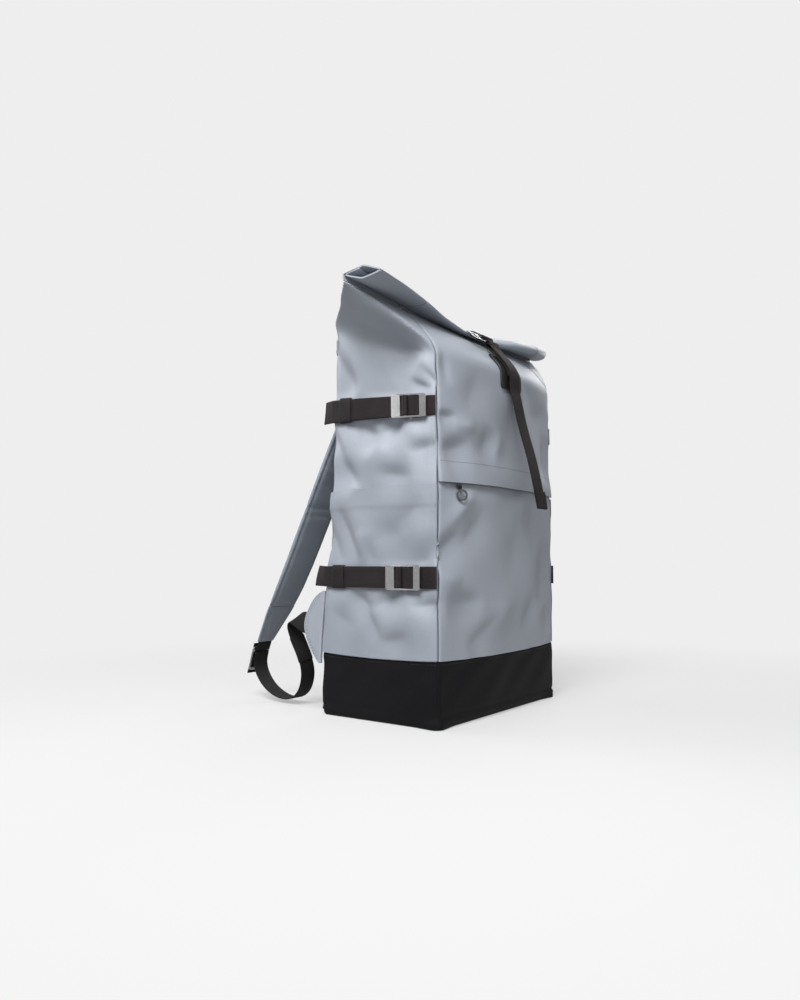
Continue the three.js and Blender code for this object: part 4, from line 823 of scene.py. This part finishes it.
def band_faces(path, thickness):
    path = np.asarray(path, float)
    step = unit(np.diff(path, axis=0))
    before = np.concatenate([step[:1], step])
    after = np.concatenate([step, step[-1:]])
    bisector = before + after
    size = np.linalg.norm(bisector, axis=1, keepdims=True)
    normal = np.stack([-bisector[:, 1], bisector[:, 0]], -1) / size
    reach = np.minimum(thickness / size, thickness * 0.9)
    return path + normal * reach, path - normal * reach


def build_roll():
    turns, cloth, gap, lift, steps = 1.2, 1.6, 0.6, 0.5, 76
    seam_share = 145 / float(section_at(CREASE_HEIGHT)["half"])
    near_seam = np.concatenate([k * seam_share + np.linspace(-0.012, 0.012, 9) for k in (-1, 1)])
    stations = np.unique(np.concatenate([np.linspace(-1, 1, 150), near_seam]))
    outer, inner, lays = [], [], []
    for share in stations:
        x, cy, cz = crease(share)
        read = {name: float(column(ROLL, "along", name, share)) for name in ROLL}
        seam = math.exp(-((abs(x) - 145) / 0.9) ** 2)
        pinch = 1 - 0.07 * seam - 0.05 * math.exp(-((share + 0.06) / 0.09) ** 2)
        start = np.array([[cy, cz + lift + 1.5 * share ** 4]])
        t = np.linspace(0, 1, steps)
        angle = math.pi * (1.02 - 2 * turns * t)
        inset = t * turns * (cloth + gap)
        wide = (read["width"] - cloth) / 2 * pinch - inset
        high = np.maximum((read["height"] - cloth) / 2 * pinch - inset, 0.3)
        cos, sin = -np.cos(angle), np.sin(angle)
        wrinkle = (0.45 * np.sin(x / 13.0 + 5 * angle / math.pi) + 0.35 * np.sin(x / 7.0 - 3 * angle)
                   ) * (0.5 + 0.7 * abs(share)) * (1 - 0.8 * seam)
        outward = np.clip(1 - t * 1.6, 0, 1)
        u = np.sign(cos) * np.abs(cos) ** read["flat"] * wide
        v = np.sign(sin) * np.abs(sin) ** read["flat"] * (high + np.minimum(wrinkle, 0.5) * outward)
        droop = math.radians(read["droop"])
        y = cy + read["y"] + u * math.cos(droop) - v * math.sin(droop)
        z = cz + lift + read["z"] + u * math.sin(droop) + v * math.cos(droop)
        path = np.concatenate([start, np.stack([y, z], -1)])
        flat = run_lengths(path)
        for face, store in zip(band_faces(path, cloth), (outer, inner)):
            store.append(np.concatenate([np.full((len(face), 1), x), face], 1))
        # The third number marks the roll's two seam lines for painted shade
        lays.append(np.stack([np.full(len(flat), x), flat, 1000 * seam + 0 * flat], -1))
    add_sheet("roll_cloth", np.array(outer), np.array(inner), fabric, "coated_fabric", lay=np.array(lays),
              replaced=("rolled_top",), bevel=0.35)


# ---------------------------------------------------------------- webbing
def smooth_path(path, spacing=1.6, rounds=2):
    path = np.asarray(path, float)
    for _ in range(rounds):
        first = 0.75 * path[:-1] + 0.25 * path[1:]
        second = 0.25 * path[:-1] + 0.75 * path[1:]
        cut = np.empty((2 * len(first), path.shape[1]))
        cut[0::2], cut[1::2] = first, second
        path = np.concatenate([path[:1], cut, path[-1:]])
    reach = run_lengths(path)
    return at_distance(path, reach, np.linspace(0, reach[-1], max(int(reach[-1] / spacing), 8)))


def web_section(width, thickness, edge=0.9, between=9):
    """Places across a band of webbing and how thick it is there, thinner towards its two edges."""
    half = width / 2
    across = np.array([-half, -half + 0.25, -half + edge, *np.linspace(-half + 2.6, half - 2.6, between), half - edge,
                       half - 0.25, half])
    return across, thickness * np.interp(half - np.abs(across), [0, 0.25, edge, half], [0.45, 0.75, 1.0, 1.0])


def ribbon(name, path, place, replaced=(), smooth=2, width=WEB_WIDTH, thickness=WEB, edge=0.9, material=webbing):
    """A band of webbing along a flat path, which place() carries onto the bag."""
    path = smooth_path(path, rounds=smooth)
    across, depth = web_section(width, thickness, edge)
    normal = band_faces(path, 2.0)[0] - path
    sheets = []
    for sign in (1, -1):
        rows = path[:, None, :] + sign * normal[:, None, :] * (depth[None, :, None] / 2)
        sheets.append(place(rows[..., 0], rows[..., 1], np.broadcast_to(across, rows.shape[:2])))
    lay = np.stack(np.broadcast_arrays(run_lengths(path)[:, None], across[None, :], 0.0), -1)
    add_sheet(name, *sheets, material, "webbing", lay=lay, replaced=replaced, sharp=80)


def half_turn(centre, radius, start, sweep, steps=10):
    angle = np.radians(start + sweep * np.arange(steps + 1) / steps)
    return np.stack([centre[0] + radius * np.cos(angle), centre[1] + radius * np.sin(angle)], -1).tolist()


def side_placer(side, height, base_lift):
    sign = 1 if side == "left" else -1
    s = section_at(height)
    start, end = panel_range("left", s)
    straight_end = end - start - s["corner"] * 0.8

    def place(t, lift, rise):
        t, lift, rise = np.broadcast_arrays(t, lift, rise)
        held = np.minimum(t, straight_end)
        at = skin_off(sign * (start + held + 0.8), height + rise, base_lift + lift, 0.0)
        back = skin_off(sign * (start + held - 0.2), height + rise, base_lift + lift, 0.0)
        return at + unit(at - back) * (t - held)[..., None]

    return place


def build_side_strap(side, level, height, under, first):
    """A cinch strap: its sewn root round the buckle's bars, the doubled strap and the keeper."""
    place = side_placer(side, height, LAY_GAP + under + WEB / 2)
    s = section_at(height)
    panel_length = float(seam_along(s, "back") - seam_along(s, "front"))
    layer = WEB + LAYER_GAP
    metal_low = layer + WEB / 2 + LAYER_GAP
    metal_middle = metal_low + BUCKLE_THICK / 2
    front_bar, thin, turning, rear = 8.0, (17.5, 19.5), (24.7, 27.7), 33.2

    def shift(path):
        return [[first + t, lift] for t, lift in path]

    def turn_around(bar, start, sweep):
        radius = math.hypot((bar[1] - bar[0]) / 2, BUCKLE_THICK / 2) + LAYER_GAP + WEB / 2
        return half_turn(((bar[0] + bar[1]) / 2, metal_middle), radius, start, sweep)

    root = [[1 - first, 0], [8 - first, 0], [0, 0], [front_bar + 2, 0], [thin[0] - 2, 0.4],
            *turn_around(thin, -90, 180), [front_bar + 6, metal_middle], [front_bar + 0.6, layer + 0.1],
            [front_bar - 3, layer], [2, layer]]
    ribbon(f"strap_root_web_{level}_{side}", shift(root), place, (f"strap_root_{level}_{side}",), smooth=1)
    back_end = panel_length - first
    middle = back_end * 0.35 + BUCKLE_LENGTH * 0.5
    run = [[back_end - 4, 0], [back_end * 0.7, 0], [middle, 0], [BUCKLE_LENGTH + 3, 0], [rear, 0],
           [turning[1], 0.5], *turn_around(turning, -90, -210), [rear - 3.1, metal_middle],
           [rear - 1.1, layer + 0.12], [rear + 2, layer], [BUCKLE_LENGTH + 3, layer], [middle, layer],
           [back_end * 0.7, layer], [back_end - 6, layer], [back_end + 14, layer]]
    ribbon(f"strap_web_{level}_{side}", shift(run), place, (f"strap_{level}_{side}",), smooth=1)
    reach, high = WEB_WIDTH / 2 + 1.1, metal_low + 0.5
    keeper = [[-reach, -0.2], [-reach, high], [reach, high], [reach, -0.2]]
    ribbon(f"keeper_web_{level}_{side}", keeper, lambda rise, lift, w: place(panel_length - 38 + 10 + w, lift, rise),
           (f"keeper_{level}_{side}",), width=20, thickness=1.0, edge=0.7)


def build_side_straps():
    for side in ("left", "right"):
        build_side_strap(side, "upper", UPPER_STRAP, 0, 10.0)
        build_side_strap(side, "lower", LOWER_STRAP, LAY_GAP + CLOTH, 18.0)


HOOK_CENTRE, HOOK_TILT, HOOK_HEIGHT, HOOK_THICK = (-14.0, -69.0, 475.5), 44.0, 15.0, 2.2


def hook_bar(v):
    slope = math.radians(HOOK_TILT)
    return (HOOK_CENTRE[1] + v * math.cos(slope), HOOK_CENTRE[2] + v * math.sin(slope))


def middle_place(y, z, w):
    y, z, w = np.broadcast_arrays(y, z, w)
    return np.stack([w, y, z], -1)


def front_middle(height, lift):
    point = skin_off(np.array([0.0]), np.array([float(height)]), np.array([lift]), 0.0)[0]
    return [point[1], point[2]]


def build_closure():
    lower, upper = hook_bar(-HOOK_HEIGHT / 2 + 1.5), hook_bar(HOOK_HEIGHT / 2 - 1.5)
    bar_turn = math.hypot(1.5, HOOK_THICK / 2) + LAY_GAP + WEB / 2
    low, length, thick = 419.0, 48.0, 1.8
    lift = 1.5 * LAY_GAP
    on_patch = lift + thick + 1.5 * LAY_GAP + WEB / 2
    over_root = on_patch + WEB + 1.5 * LAY_GAP
    heights = [low + length * i / 5 for i in range(6)]

    def patch_half(full, level):
        return full - 2.5 * np.clip(1 - np.minimum(level, 1 - level) * 9, 0, 1)

    # The patch, with cut corners and a row of stitches round it
    level, share = np.meshgrid(np.linspace(0, 1, 34), np.linspace(-1, 1, 36), indexing="ij")
    height = low + length * level
    grids = [skin_off(-share * patch_half(26, level), height, np.full_like(height, value), 0.0)
             for value in (lift + thick, lift)]
    add_sheet("patch_leather", *grids, leather, "patch_leather", replaced=("strap_patch",), bevel=0.5)
    corners = np.array([(-1, 0), (1, 0), (1, 1), (-1, 1), (-1, 0)], float)
    t = np.linspace(0, 1, 24)
    points, normals = [], []
    for (share, level), (next_share, next_level) in zip(corners[:-1], corners[1:]):
        inner_level = 0.06 + 0.88 * (level + (next_level - level) * t)
        along = -(share + (next_share - share) * t) * patch_half(23, inner_level)
        height = low + length * inner_level
        points.append(skin_off(along, height, np.full_like(height, lift + thick), 0.0))
        normals.append(skin_normal(along, height, 0.0))
    stitches("stitch_patch", np.concatenate(points), np.concatenate(normals), dark_thread_and_shade, "patch_leather", radius=0.28)

    def tail(*steps):
        return [front_middle(share * CREASE_HEIGHT, over_root + out) for share, out in steps]

    front_path = [*[front_middle(h, on_patch) for h in heights[2:]], [lower[0] + 1.5, lower[1] - 6],
                  *half_turn(lower, bar_turn, 20, 150), [lower[0] - 5.5, lower[1] - 6],
                  *[front_middle(h, over_root) for h in heights[:5][::-1]],
                  *tail((0.8, 3.2), (0.72, 10), (0.62, 24), (0.504, 36))]
    ribbon("front_web", front_path, middle_place, ("front_strap",))
    # The tail's folded and sewn end
    end = np.array(tail((0.56, 31), (0.535, 33.5), (0.504, 36)))
    fall = unit(end[-1] - end[0])
    out = np.array([-fall[1], fall[0]]) if -fall[1] < 0 else np.array([fall[1], -fall[0]])
    over = [(end[-1] + out * (WEB + 0.1) - fall * d).tolist() for d in (0.4, 8, 16, 22)]
    ribbon("front_web_end", over, middle_place, thickness=1.3, smooth=1)
    for k, d in enumerate((4.0, 20.0)):
        middle = end[-1] + out * (WEB + 0.75) - fall * d
        line = np.array([[w, middle[0], middle[1]] for w in np.linspace(-10.5, 10.5, 12)])
        stitches(f"stitch_tail_{k}", line, np.tile([[0, out[0], out[1]]], (12, 1)), dark_thread_and_shade, "webbing",
                 pitch=3.0, length=2.1, radius=0.3)

    crease_middle = crease(0.0)
    on_back = lambda h: [float(v) for v in skin_off(
        half_outline(section_at(np.array([h]))), np.array([h]), np.array([1.5 * LAY_GAP + WEB / 2]), 0.0)[0][1:]]
    roll_top = crease_middle[2] + 0.5 - 1.4 + 7.5 / 2 + LAY_GAP + WEB
    top_path = [*[on_back((0.85 + 0.0135 * i) * CREASE_HEIGHT) for i in range(11)],
                [crease_middle[1] + 4, roll_top + 3.4], [crease_middle[1] - 11, roll_top + 2],
                [upper[0] + 6.5, upper[1] + 6.5], *half_turn(upper, bar_turn, 70, 130, 8)]
    ribbon("top_web", top_path, middle_place, ("top_strap",), smooth=1)


# ---------------------------------------------------------------- shoulder straps
STRAP_WIDTH, STRAP_THICK, ANCHOR_X, LOW_X = 57.0, 9.0, 52.0, 101.0
END_DROP, HANG_DROP = (32.0, -50.0), (12.0, -40.0)


def strap_centre(share):
    read = lambda name: column(STRAP, "share", name, share)
    return np.stack([ANCHOR_X + (LOW_X - ANCHOR_X) * read("x"), read("y"), read("z")], -1)


def mirrored(side):
    return np.array([-1.0 if side == "left" else 1.0, 1, 1])


def build_shoulder(side):
    flip = mirrored(side)
    share = np.linspace(0, 1, 120)
    centre = strap_centre(share)
    along = unit(strap_centre(np.minimum(share + 0.01, 1)) - strap_centre(np.maximum(share - 0.01, 0)))
    wide = np.tile([[1.0, 0, 0]], (len(share), 1))
    out = unit(np.cross(wide, along))
    width = column(STRAP, "share", "width", share) * STRAP_WIDTH
    thick = column(STRAP, "share", "thickness", share) * STRAP_THICK
    # Where the pad is stitched across and folds, it is thin; between, it is full
    for at, depth, reach in ((0.595, 0.45, 0.008), (0.625, 0.3, 0.006), (0.0, 0.35, 0.02), (1.0, 0.5, 0.02)):
        thick = thick * (1 - depth * np.exp(-((share - at) / reach) ** 2))
    sides = 44
    angle = np.arange(sides) * 2 * math.pi / sides
    c, s = np.cos(angle), np.sin(angle)
    u = np.sign(c) * np.abs(c) ** 0.55
    v = np.sign(s) * np.abs(s) ** 0.8
    # A sewn channel runs 4 mm inside each edge
    reach = np.abs(u)[None, :] * width[:, None] / 2
    channel = 1 - 0.42 * np.exp(-((width[:, None] / 2 - 4.5 - reach) / 1.5) ** 2)
    ripple = 1 + 0.05 * np.sin(share * 70 + 0.4)[:, None] + 0.05 * np.sin(share[:, None] * 190 + u[None, :] * 4)
    rings = (centre[:, None, :] + wide[:, None, :] * (u[None, :, None] * width[:, None, None] / 2)
             + out[:, None, :] * (v[None, :, None] * thick[:, None, None] / 2) * (channel * ripple)[..., None])
    rings = rings * flip
    points = np.concatenate([rings.reshape(-1, 3), (centre[:1] * flip), (centre[-1:] * flip)])
    faces = tube_faces(len(share), sides)
    lay = np.stack(np.broadcast_arrays(u[None, :] * 28.0, share[:, None] * 350.0, 0.0), -1).reshape(-1, 3)
    lay = np.concatenate([lay, np.zeros((2, 3))])
    pad = add_mesh(f"pad_cloth_{side}", points, faces, pad_fabric, "coated_fabric", lay=lay, sharp=60,
                   replaced=(f"shoulder_pad_{side}",))
    inside = (share > 0.03) & (share < 0.985)
    for edge in (-1, 1):
        for face in (-1, 1):
            line = (centre + wide * (edge * (width / 2 - 4.5))[:, None]
                    + out * (face * thick * 0.5 * 0.5)[:, None])[inside] * flip
            stitches(f"stitch_pad_{side}_{'outer' if face > 0 else 'inner'}_{'a' if edge > 0 else 'b'}", line,
                     (out * face)[inside] * flip, thread, "coated_fabric", pitch=4.2, length=2.8)

    # The tapered end with its sewn triangle
    length = math.hypot(*END_DROP)
    down = np.array(END_DROP) / length
    outward = np.array([-down[1], down[0]])
    foot = np.array([203.5, 128.0])

    def end_place(a, b, w):
        a, b, w = np.broadcast_arrays(a, b, w)
        return np.stack([LOW_X + w, foot[0] + down[0] * a + outward[0] * b,
                         foot[1] + down[1] * a + outward[1] * b], -1) * flip

    top_half, end_half, thickness = 0.86 * STRAP_WIDTH / 2, WEB_WIDTH / 2 + 2, 3.2
    a, w = np.meshgrid(np.linspace(SEAM_GAP + 0.3, length, 46), np.linspace(-1, 1, 34), indexing="ij")
    half = np.interp(a, [0, 12, length], [top_half, top_half - 1.5, end_half])
    crease_line = np.exp(-((np.abs(w) * half - np.interp(a, [6, length - 4], [top_half - 6, 2.0])) / 1.2) ** 2)
    puff = (1 - 0.35 * np.abs(w) ** 6) * thickness / 2 - 0.5 * crease_line * (a > 5) * (a < length - 3)
    add_sheet(f"strap_end_cloth_{side}", end_place(a, puff, w * half), end_place(a, -puff, w * half), pad_fabric,
              "coated_fabric", lay=np.stack([w * half, a, 0 * a], -1), replaced=(f"strap_end_{side}",), bevel=0.4)
    for face in (-1, 1):
        normal = np.array([0, outward[0], outward[1]]) * face
        for k, (a0, w0, a1, w1) in enumerate(((4, -top_half + 4, 4, top_half - 4), (6, -top_half + 5, length - 4, 2),
                                              (6, top_half - 5, length - 4, -2),
                                              (6, -top_half + 2.5, length - 3, -end_half + 2.5),
                                              (6, top_half - 2.5, length - 3, end_half - 2.5))):
            t = np.linspace(0, 1, 30)
            above = face * (thickness / 2 - 0.12 - 0.35 * (k in (1, 2)))
            line = end_place(a0 + (a1 - a0) * t, above, w0 + (w1 - w0) * t)
            stitches(f"stitch_end_{side}_{'outer' if face > 0 else 'inner'}_{k}", line, np.tile(normal, (30, 1)),
                     thread, "coated_fabric", pitch=3.4, length=2.3, radius=0.3)

    # Triglide, its loop and the adjuster webbing
    hang = math.hypot(*HANG_DROP)
    fall = np.array(HANG_DROP) / hang
    knee = foot + np.array(END_DROP)

    def hang_place(a, b, w):
        a, b, w = np.broadcast_arrays(a, b, w)
        return np.stack([LOW_X + w, knee[0] + fall[0] * a - fall[1] * b,
                         knee[1] + fall[1] * a + fall[0] * b], -1) * flip

    start, metal_b = 9.0, 4.2
    turn = math.hypot(2, 1.1) + LAYER_GAP + WEB / 2
    loop = [[SEAM_GAP + 0.2, 0], [start * 0.5, metal_b - turn - 0.8], *half_turn((start + 2, metal_b), turn, -80, 170),
            [start - 3.5, metal_b + turn - 0.2]]
    ribbon(f"loop_web_{side}", loop, hang_place, (f"strap_loop_{side}",), smooth=1, material=black_webbing)
    sewn = [[start + 40, metal_b + turn + 0.4], [start + 24, metal_b + turn], [start + 13, metal_b + turn],
            *half_turn((start + 10.8, metal_b), turn, 80, 160), [start + 13, metal_b - turn],
            [start + 22, metal_b - turn - 0.5]]
    build_adjuster(side, sewn, hang_place)


def build_adjuster(side, sewn, hang_place):
    flip = mirrored(side)
    head = hang_place(*(np.array(sewn).T[k] for k in (0, 1)), 0.0) * flip
    rows = np.array(LOOP, float)
    rows[:, 0] *= -1
    centre = np.concatenate([head, rows[:, :3]])
    turn = np.concatenate([np.zeros(len(head)), rows[:, 3]])
    path = smooth_path(np.concatenate([centre, turn[:, None]], 1), spacing=1.8, rounds=2)
    centre, turn = path[:, :3], np.radians(path[:, 3])
    along = unit(np.gradient(centre, axis=0))
    wide = np.stack([np.cos(turn), 0 * turn, -np.sin(turn)], -1)
    wide = unit(wide - along * np.sum(wide * along, -1, keepdims=True))
    through = unit(np.cross(wide, along))
    across, depth = web_section(WEB_WIDTH, WEB, between=7)
    reach = run_lengths(centre)
    lay = np.stack(np.broadcast_arrays(reach[:, None], across[None, :], 0.0), -1)
    sheets = [(centre[:, None, :] + wide[:, None, :] * across[None, :, None]
               + through[:, None, :] * (sign * depth[None, :, None] / 2)) * flip for sign in (1, -1)]
    add_sheet(f"adjuster_web_{side}", *sheets, black_webbing, "webbing", lay=lay,
              replaced=(f"adjuster_webbing_{side}",), sharp=80)
    # The doubled, sewn stretch above the loop's lowest part
    part = (centre[:, 2] > 58) & (reach > reach[-1] * 0.5) & (centre[:, 1] < 160) & (centre[:, 2] < 92) & (turn < 0.15)
    base, w, n = centre[part], wide[part], through[part]
    for sign, name in ((1, "a"), (-1, "b")):
        sheets = [(base[:, None, :] + w[:, None, :] * (across * 0.98)[None, :, None]
                   + n[:, None, :] * (sign * (WEB / 2 + 0.05 + step))) * flip for step in (1.1, 0.0)]
        add_sheet(f"sewn_web_{name}_{side}", *sheets, black_webbing, "webbing", lay=lay[part], bevel=0.3)


def build_wing(side):
    sign = -1.0 if side == "left" else 1.0
    reach = np.array([w[0] for w in WING]) * 39.0
    level = np.array([w[1] for w in WING], float)
    # Rounded outline through the table's points
    curve = smooth_path(np.stack([reach, level], -1), spacing=1.5, rounds=3)
    rows = np.linspace(62.2, 151.8, 60)
    order = np.argsort(curve[:, 1])
    limit = np.interp(rows, curve[order, 1], curve[order, 0])
    share = np.concatenate([np.zeros(4), np.linspace(0, 1, 26)])
    u = limit[:, None] * share[None, :]
    v = np.repeat(rows[:, None], len(share), 1)
    s = section_at(v)
    # Its root edge turns in towards the body's back seam
    tuck = 2.7 * np.clip(1 - np.arange(len(share)) / 4, 0, 1)
    root = skin_off(seam_along(s, "back"), v, LAY_GAP + CLOTH + 1.6 * LAY_GAP - np.broadcast_to(tuck, v.shape), 0.0)
    edge = (limit[:, None] - u)
    channel = 0.5 * np.exp(-((edge - 3.5) / 1.0) ** 2) + 0.5 * np.exp(-((edge - 7.5) / 1.0) ** 2)
    full = 0.45 * smooth_step(edge, 0, 2.5)

    def sheet(w):
        return np.stack([sign * (-root[..., 0] - 0.3 * u + w), root[..., 1] + u, v], -1)

    outer, inner = sheet(2.55 + full - channel), sheet(0.45 - full + channel)
    add_sheet(f"wing_cloth_{side}", outer, inner, fabric, "coated_fabric", lay=np.stack([u, v, 0 * v], -1),
              replaced=(f"wing_{side}",), bevel=0.4)
    for inset in (3.5, 7.5):
        keep = limit > inset + 3
        root_line, reach_line = root[keep, -1], limit[keep] - inset
        for w, name, facing in ((2.62, "outer", 1.0), (0.38, "inner", -1.0)):
            line = np.stack([sign * (-root_line[:, 0] - 0.3 * reach_line + w), root_line[:, 1] + reach_line,
                             rows[keep]], -1)
            normals = np.tile([[sign * facing, 0.3 * facing, 0]], (len(line), 1))
            stitches(f"stitch_wing_{side}_{name}_{int(inset)}", line, normals, thread, "coated_fabric",
                     pitch=4.2, length=2.7, radius=0.5)


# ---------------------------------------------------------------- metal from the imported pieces
# The zip's ring hangs half turned towards the bag's left, an eighth larger and a little lower than packed
RING_TURN, RING_SCALE, RING_SHIFT = -38, 1.12, (0, -3.4 * MM, -0.5 * MM)


def hang_ring(work):
    middle = sum((v.co for v in work.verts), Vector()) / len(work.verts)
    bmesh.ops.rotate(work, cent=middle, matrix=Matrix.Rotation(math.radians(RING_TURN), 3, "Z"), verts=work.verts)
    bmesh.ops.scale(work, vec=(RING_SCALE,) * 3, verts=work.verts, space=Matrix.Translation(-middle))
    bmesh.ops.translate(work, vec=RING_SHIFT, verts=work.verts)


def rounded_metal(name, material, width):
    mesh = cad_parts[name].data.copy()
    mesh.name = f"{name}_metal"
    work = bmesh.new()
    work.from_mesh(mesh)
    bmesh.ops.remove_doubles(work, verts=work.verts, dist=1e-6)
    bmesh.ops.dissolve_limit(work, angle_limit=math.radians(4), verts=work.verts, edges=work.edges)
    bmesh.ops.recalc_face_normals(work, faces=work.faces)
    if name == "zip_ring":
        hang_ring(work)
    work.to_mesh(mesh)
    work.free()
    mesh.materials.clear()
    mesh.materials.append(material)
    mesh.shade_smooth()
    mesh.set_sharp_from_angle(angle=math.radians(35))
    obj = add_object(f"{name}_metal", mesh)
    round_edges(obj, width, segments=3, angle=38, harden=True)
    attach(obj, "root")
    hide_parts(name)


def build_metal():
    for side in ("left", "right"):
        for level in ("upper", "lower"):
            rounded_metal(f"buckle_{level}_{side}", silver, 0.55)
        rounded_metal(f"triglide_{side}", steel, 0.5)
    rounded_metal("hook", gunmetal, 0.6)
    rounded_metal("zip_slider", gunmetal, 0.4)
    rounded_metal("zip_link", dark_steel, 0.3)
    rounded_metal("zip_ring", dark_steel, 0.5)


# ---------------------------------------------------------------- floor, light and camera
def seen_strength(tree, as_light):
    """Full strength as the camera sees it, and less as a light on the bag."""
    seen = tree.node("LightPath").outputs["Is Camera Ray"]
    return tree.node("MapRange", {"Value": seen, "To Min": as_light}).outputs["Result"]


def build_floor():
    # Near the bag the floor is half lit and takes a soft shadow; further out it fades into the backdrop
    tree = Tree(bpy.data.materials.new("pale floor"))
    tree.principled({"Base Color": (0.62, 0.62, 0.625, 1), "Roughness": 0.9, "Specular IOR Level": 0.1})
    glow = tree.node("Emission", {"Color": (*BACKDROP, 1), "Strength": seen_strength(tree, 0.35)})
    reach = tree.node("VectorMath", {0: tree.place()}, operation="LENGTH").outputs["Value"]
    fade = tree.node("MapRange", {"Value": reach, "From Min": 0.25, "From Max": 1.1, "To Min": 0.45, "To Max": 1.0},
                     interpolation_type="SMOOTHSTEP")
    mix = tree.node("MixShader", {0: fade.outputs["Result"], 1: tree.nodes["Principled BSDF"].outputs[0],
                                  2: glow.outputs[0]})
    tree.feed(tree.nodes["Material Output"], {"Surface": mix.outputs[0]})
    span = 14.0
    mesh = bpy.data.meshes.new("floor")
    mesh.from_pydata([(-span, -span, 0), (span, -span, 0), (span, span, 0), (-span, span, 0)], [], [[0, 1, 2, 3]])
    mesh.materials.append(tree.owner)
    floor = add_object("floor", mesh)
    floor.location.z = -0.0005


def build_lights():
    world = bpy.data.worlds.new("studio")
    bpy.context.scene.world = world
    tree = Tree(world)
    tree.feed(tree.nodes["Background"], {"Color": (*BACKDROP, 1), "Strength": seen_strength(tree, 0.30)})
    for name, place, aim, size, power in (
        ("key", (-1.5, -0.5, 1.8), (0, 0, 0.3), (1.1, 1.1), 67),
        ("front fill", (-1.1, -1.9, 0.75), (0, 0, 0.35), (1.4, 1.0), 8),
        ("right fill", (2.2, 0.5, 1.3), (0, 0, 0.3), (1.2, 1.2), 20),
        ("rim", (-0.6, 2.4, 1.6), (0, 0, 0.3), (1.4, 1.4), 24),
        ("side card", (-2.2, 1.6, 0.9), (0, 0, 0.3), (0.7, 1.0), 3.2),
    ):
        light = bpy.data.lights.new(name, "AREA")
        light.shape = "RECTANGLE"
        light.size, light.size_y = size
        light.energy = power
        obj = add_object(name, light)
        obj.location = place
        obj.rotation_euler = (Vector(aim) - Vector(place)).to_track_quat("-Z", "Y").to_euler()
    view = bpy.context.scene.view_settings
    view.view_transform = "Standard"
    view.look = "None"


def build_camera():
    azimuth, pitch = math.radians(53.63), math.radians(4.44)
    focal_share = 0.803
    camera = bpy.data.cameras.new("camera")
    camera.sensor_fit = "VERTICAL"
    camera.sensor_height = 36.0
    camera.lens = focal_share * camera.sensor_height
    camera.clip_end = 60
    obj = add_object("camera", camera)
    ahead = Vector((math.sin(azimuth) * math.cos(pitch), math.cos(azimuth) * math.cos(pitch), math.sin(pitch)))
    obj.location = (-0.9027, -0.5888, 0.1872)
    obj.rotation_euler = ahead.to_track_quat("-Z", "Y").to_euler()
    bpy.context.scene.camera = obj


build_camera()
build_body()
build_shade_tapes()
build_stitch_rows()
build_base()
build_roll()
build_side_straps()
build_closure()
for each in ("left", "right"):
    build_shoulder(each)
    build_wing(each)
build_metal()
build_floor()
build_lights()

bpy.context.view_layer.update()
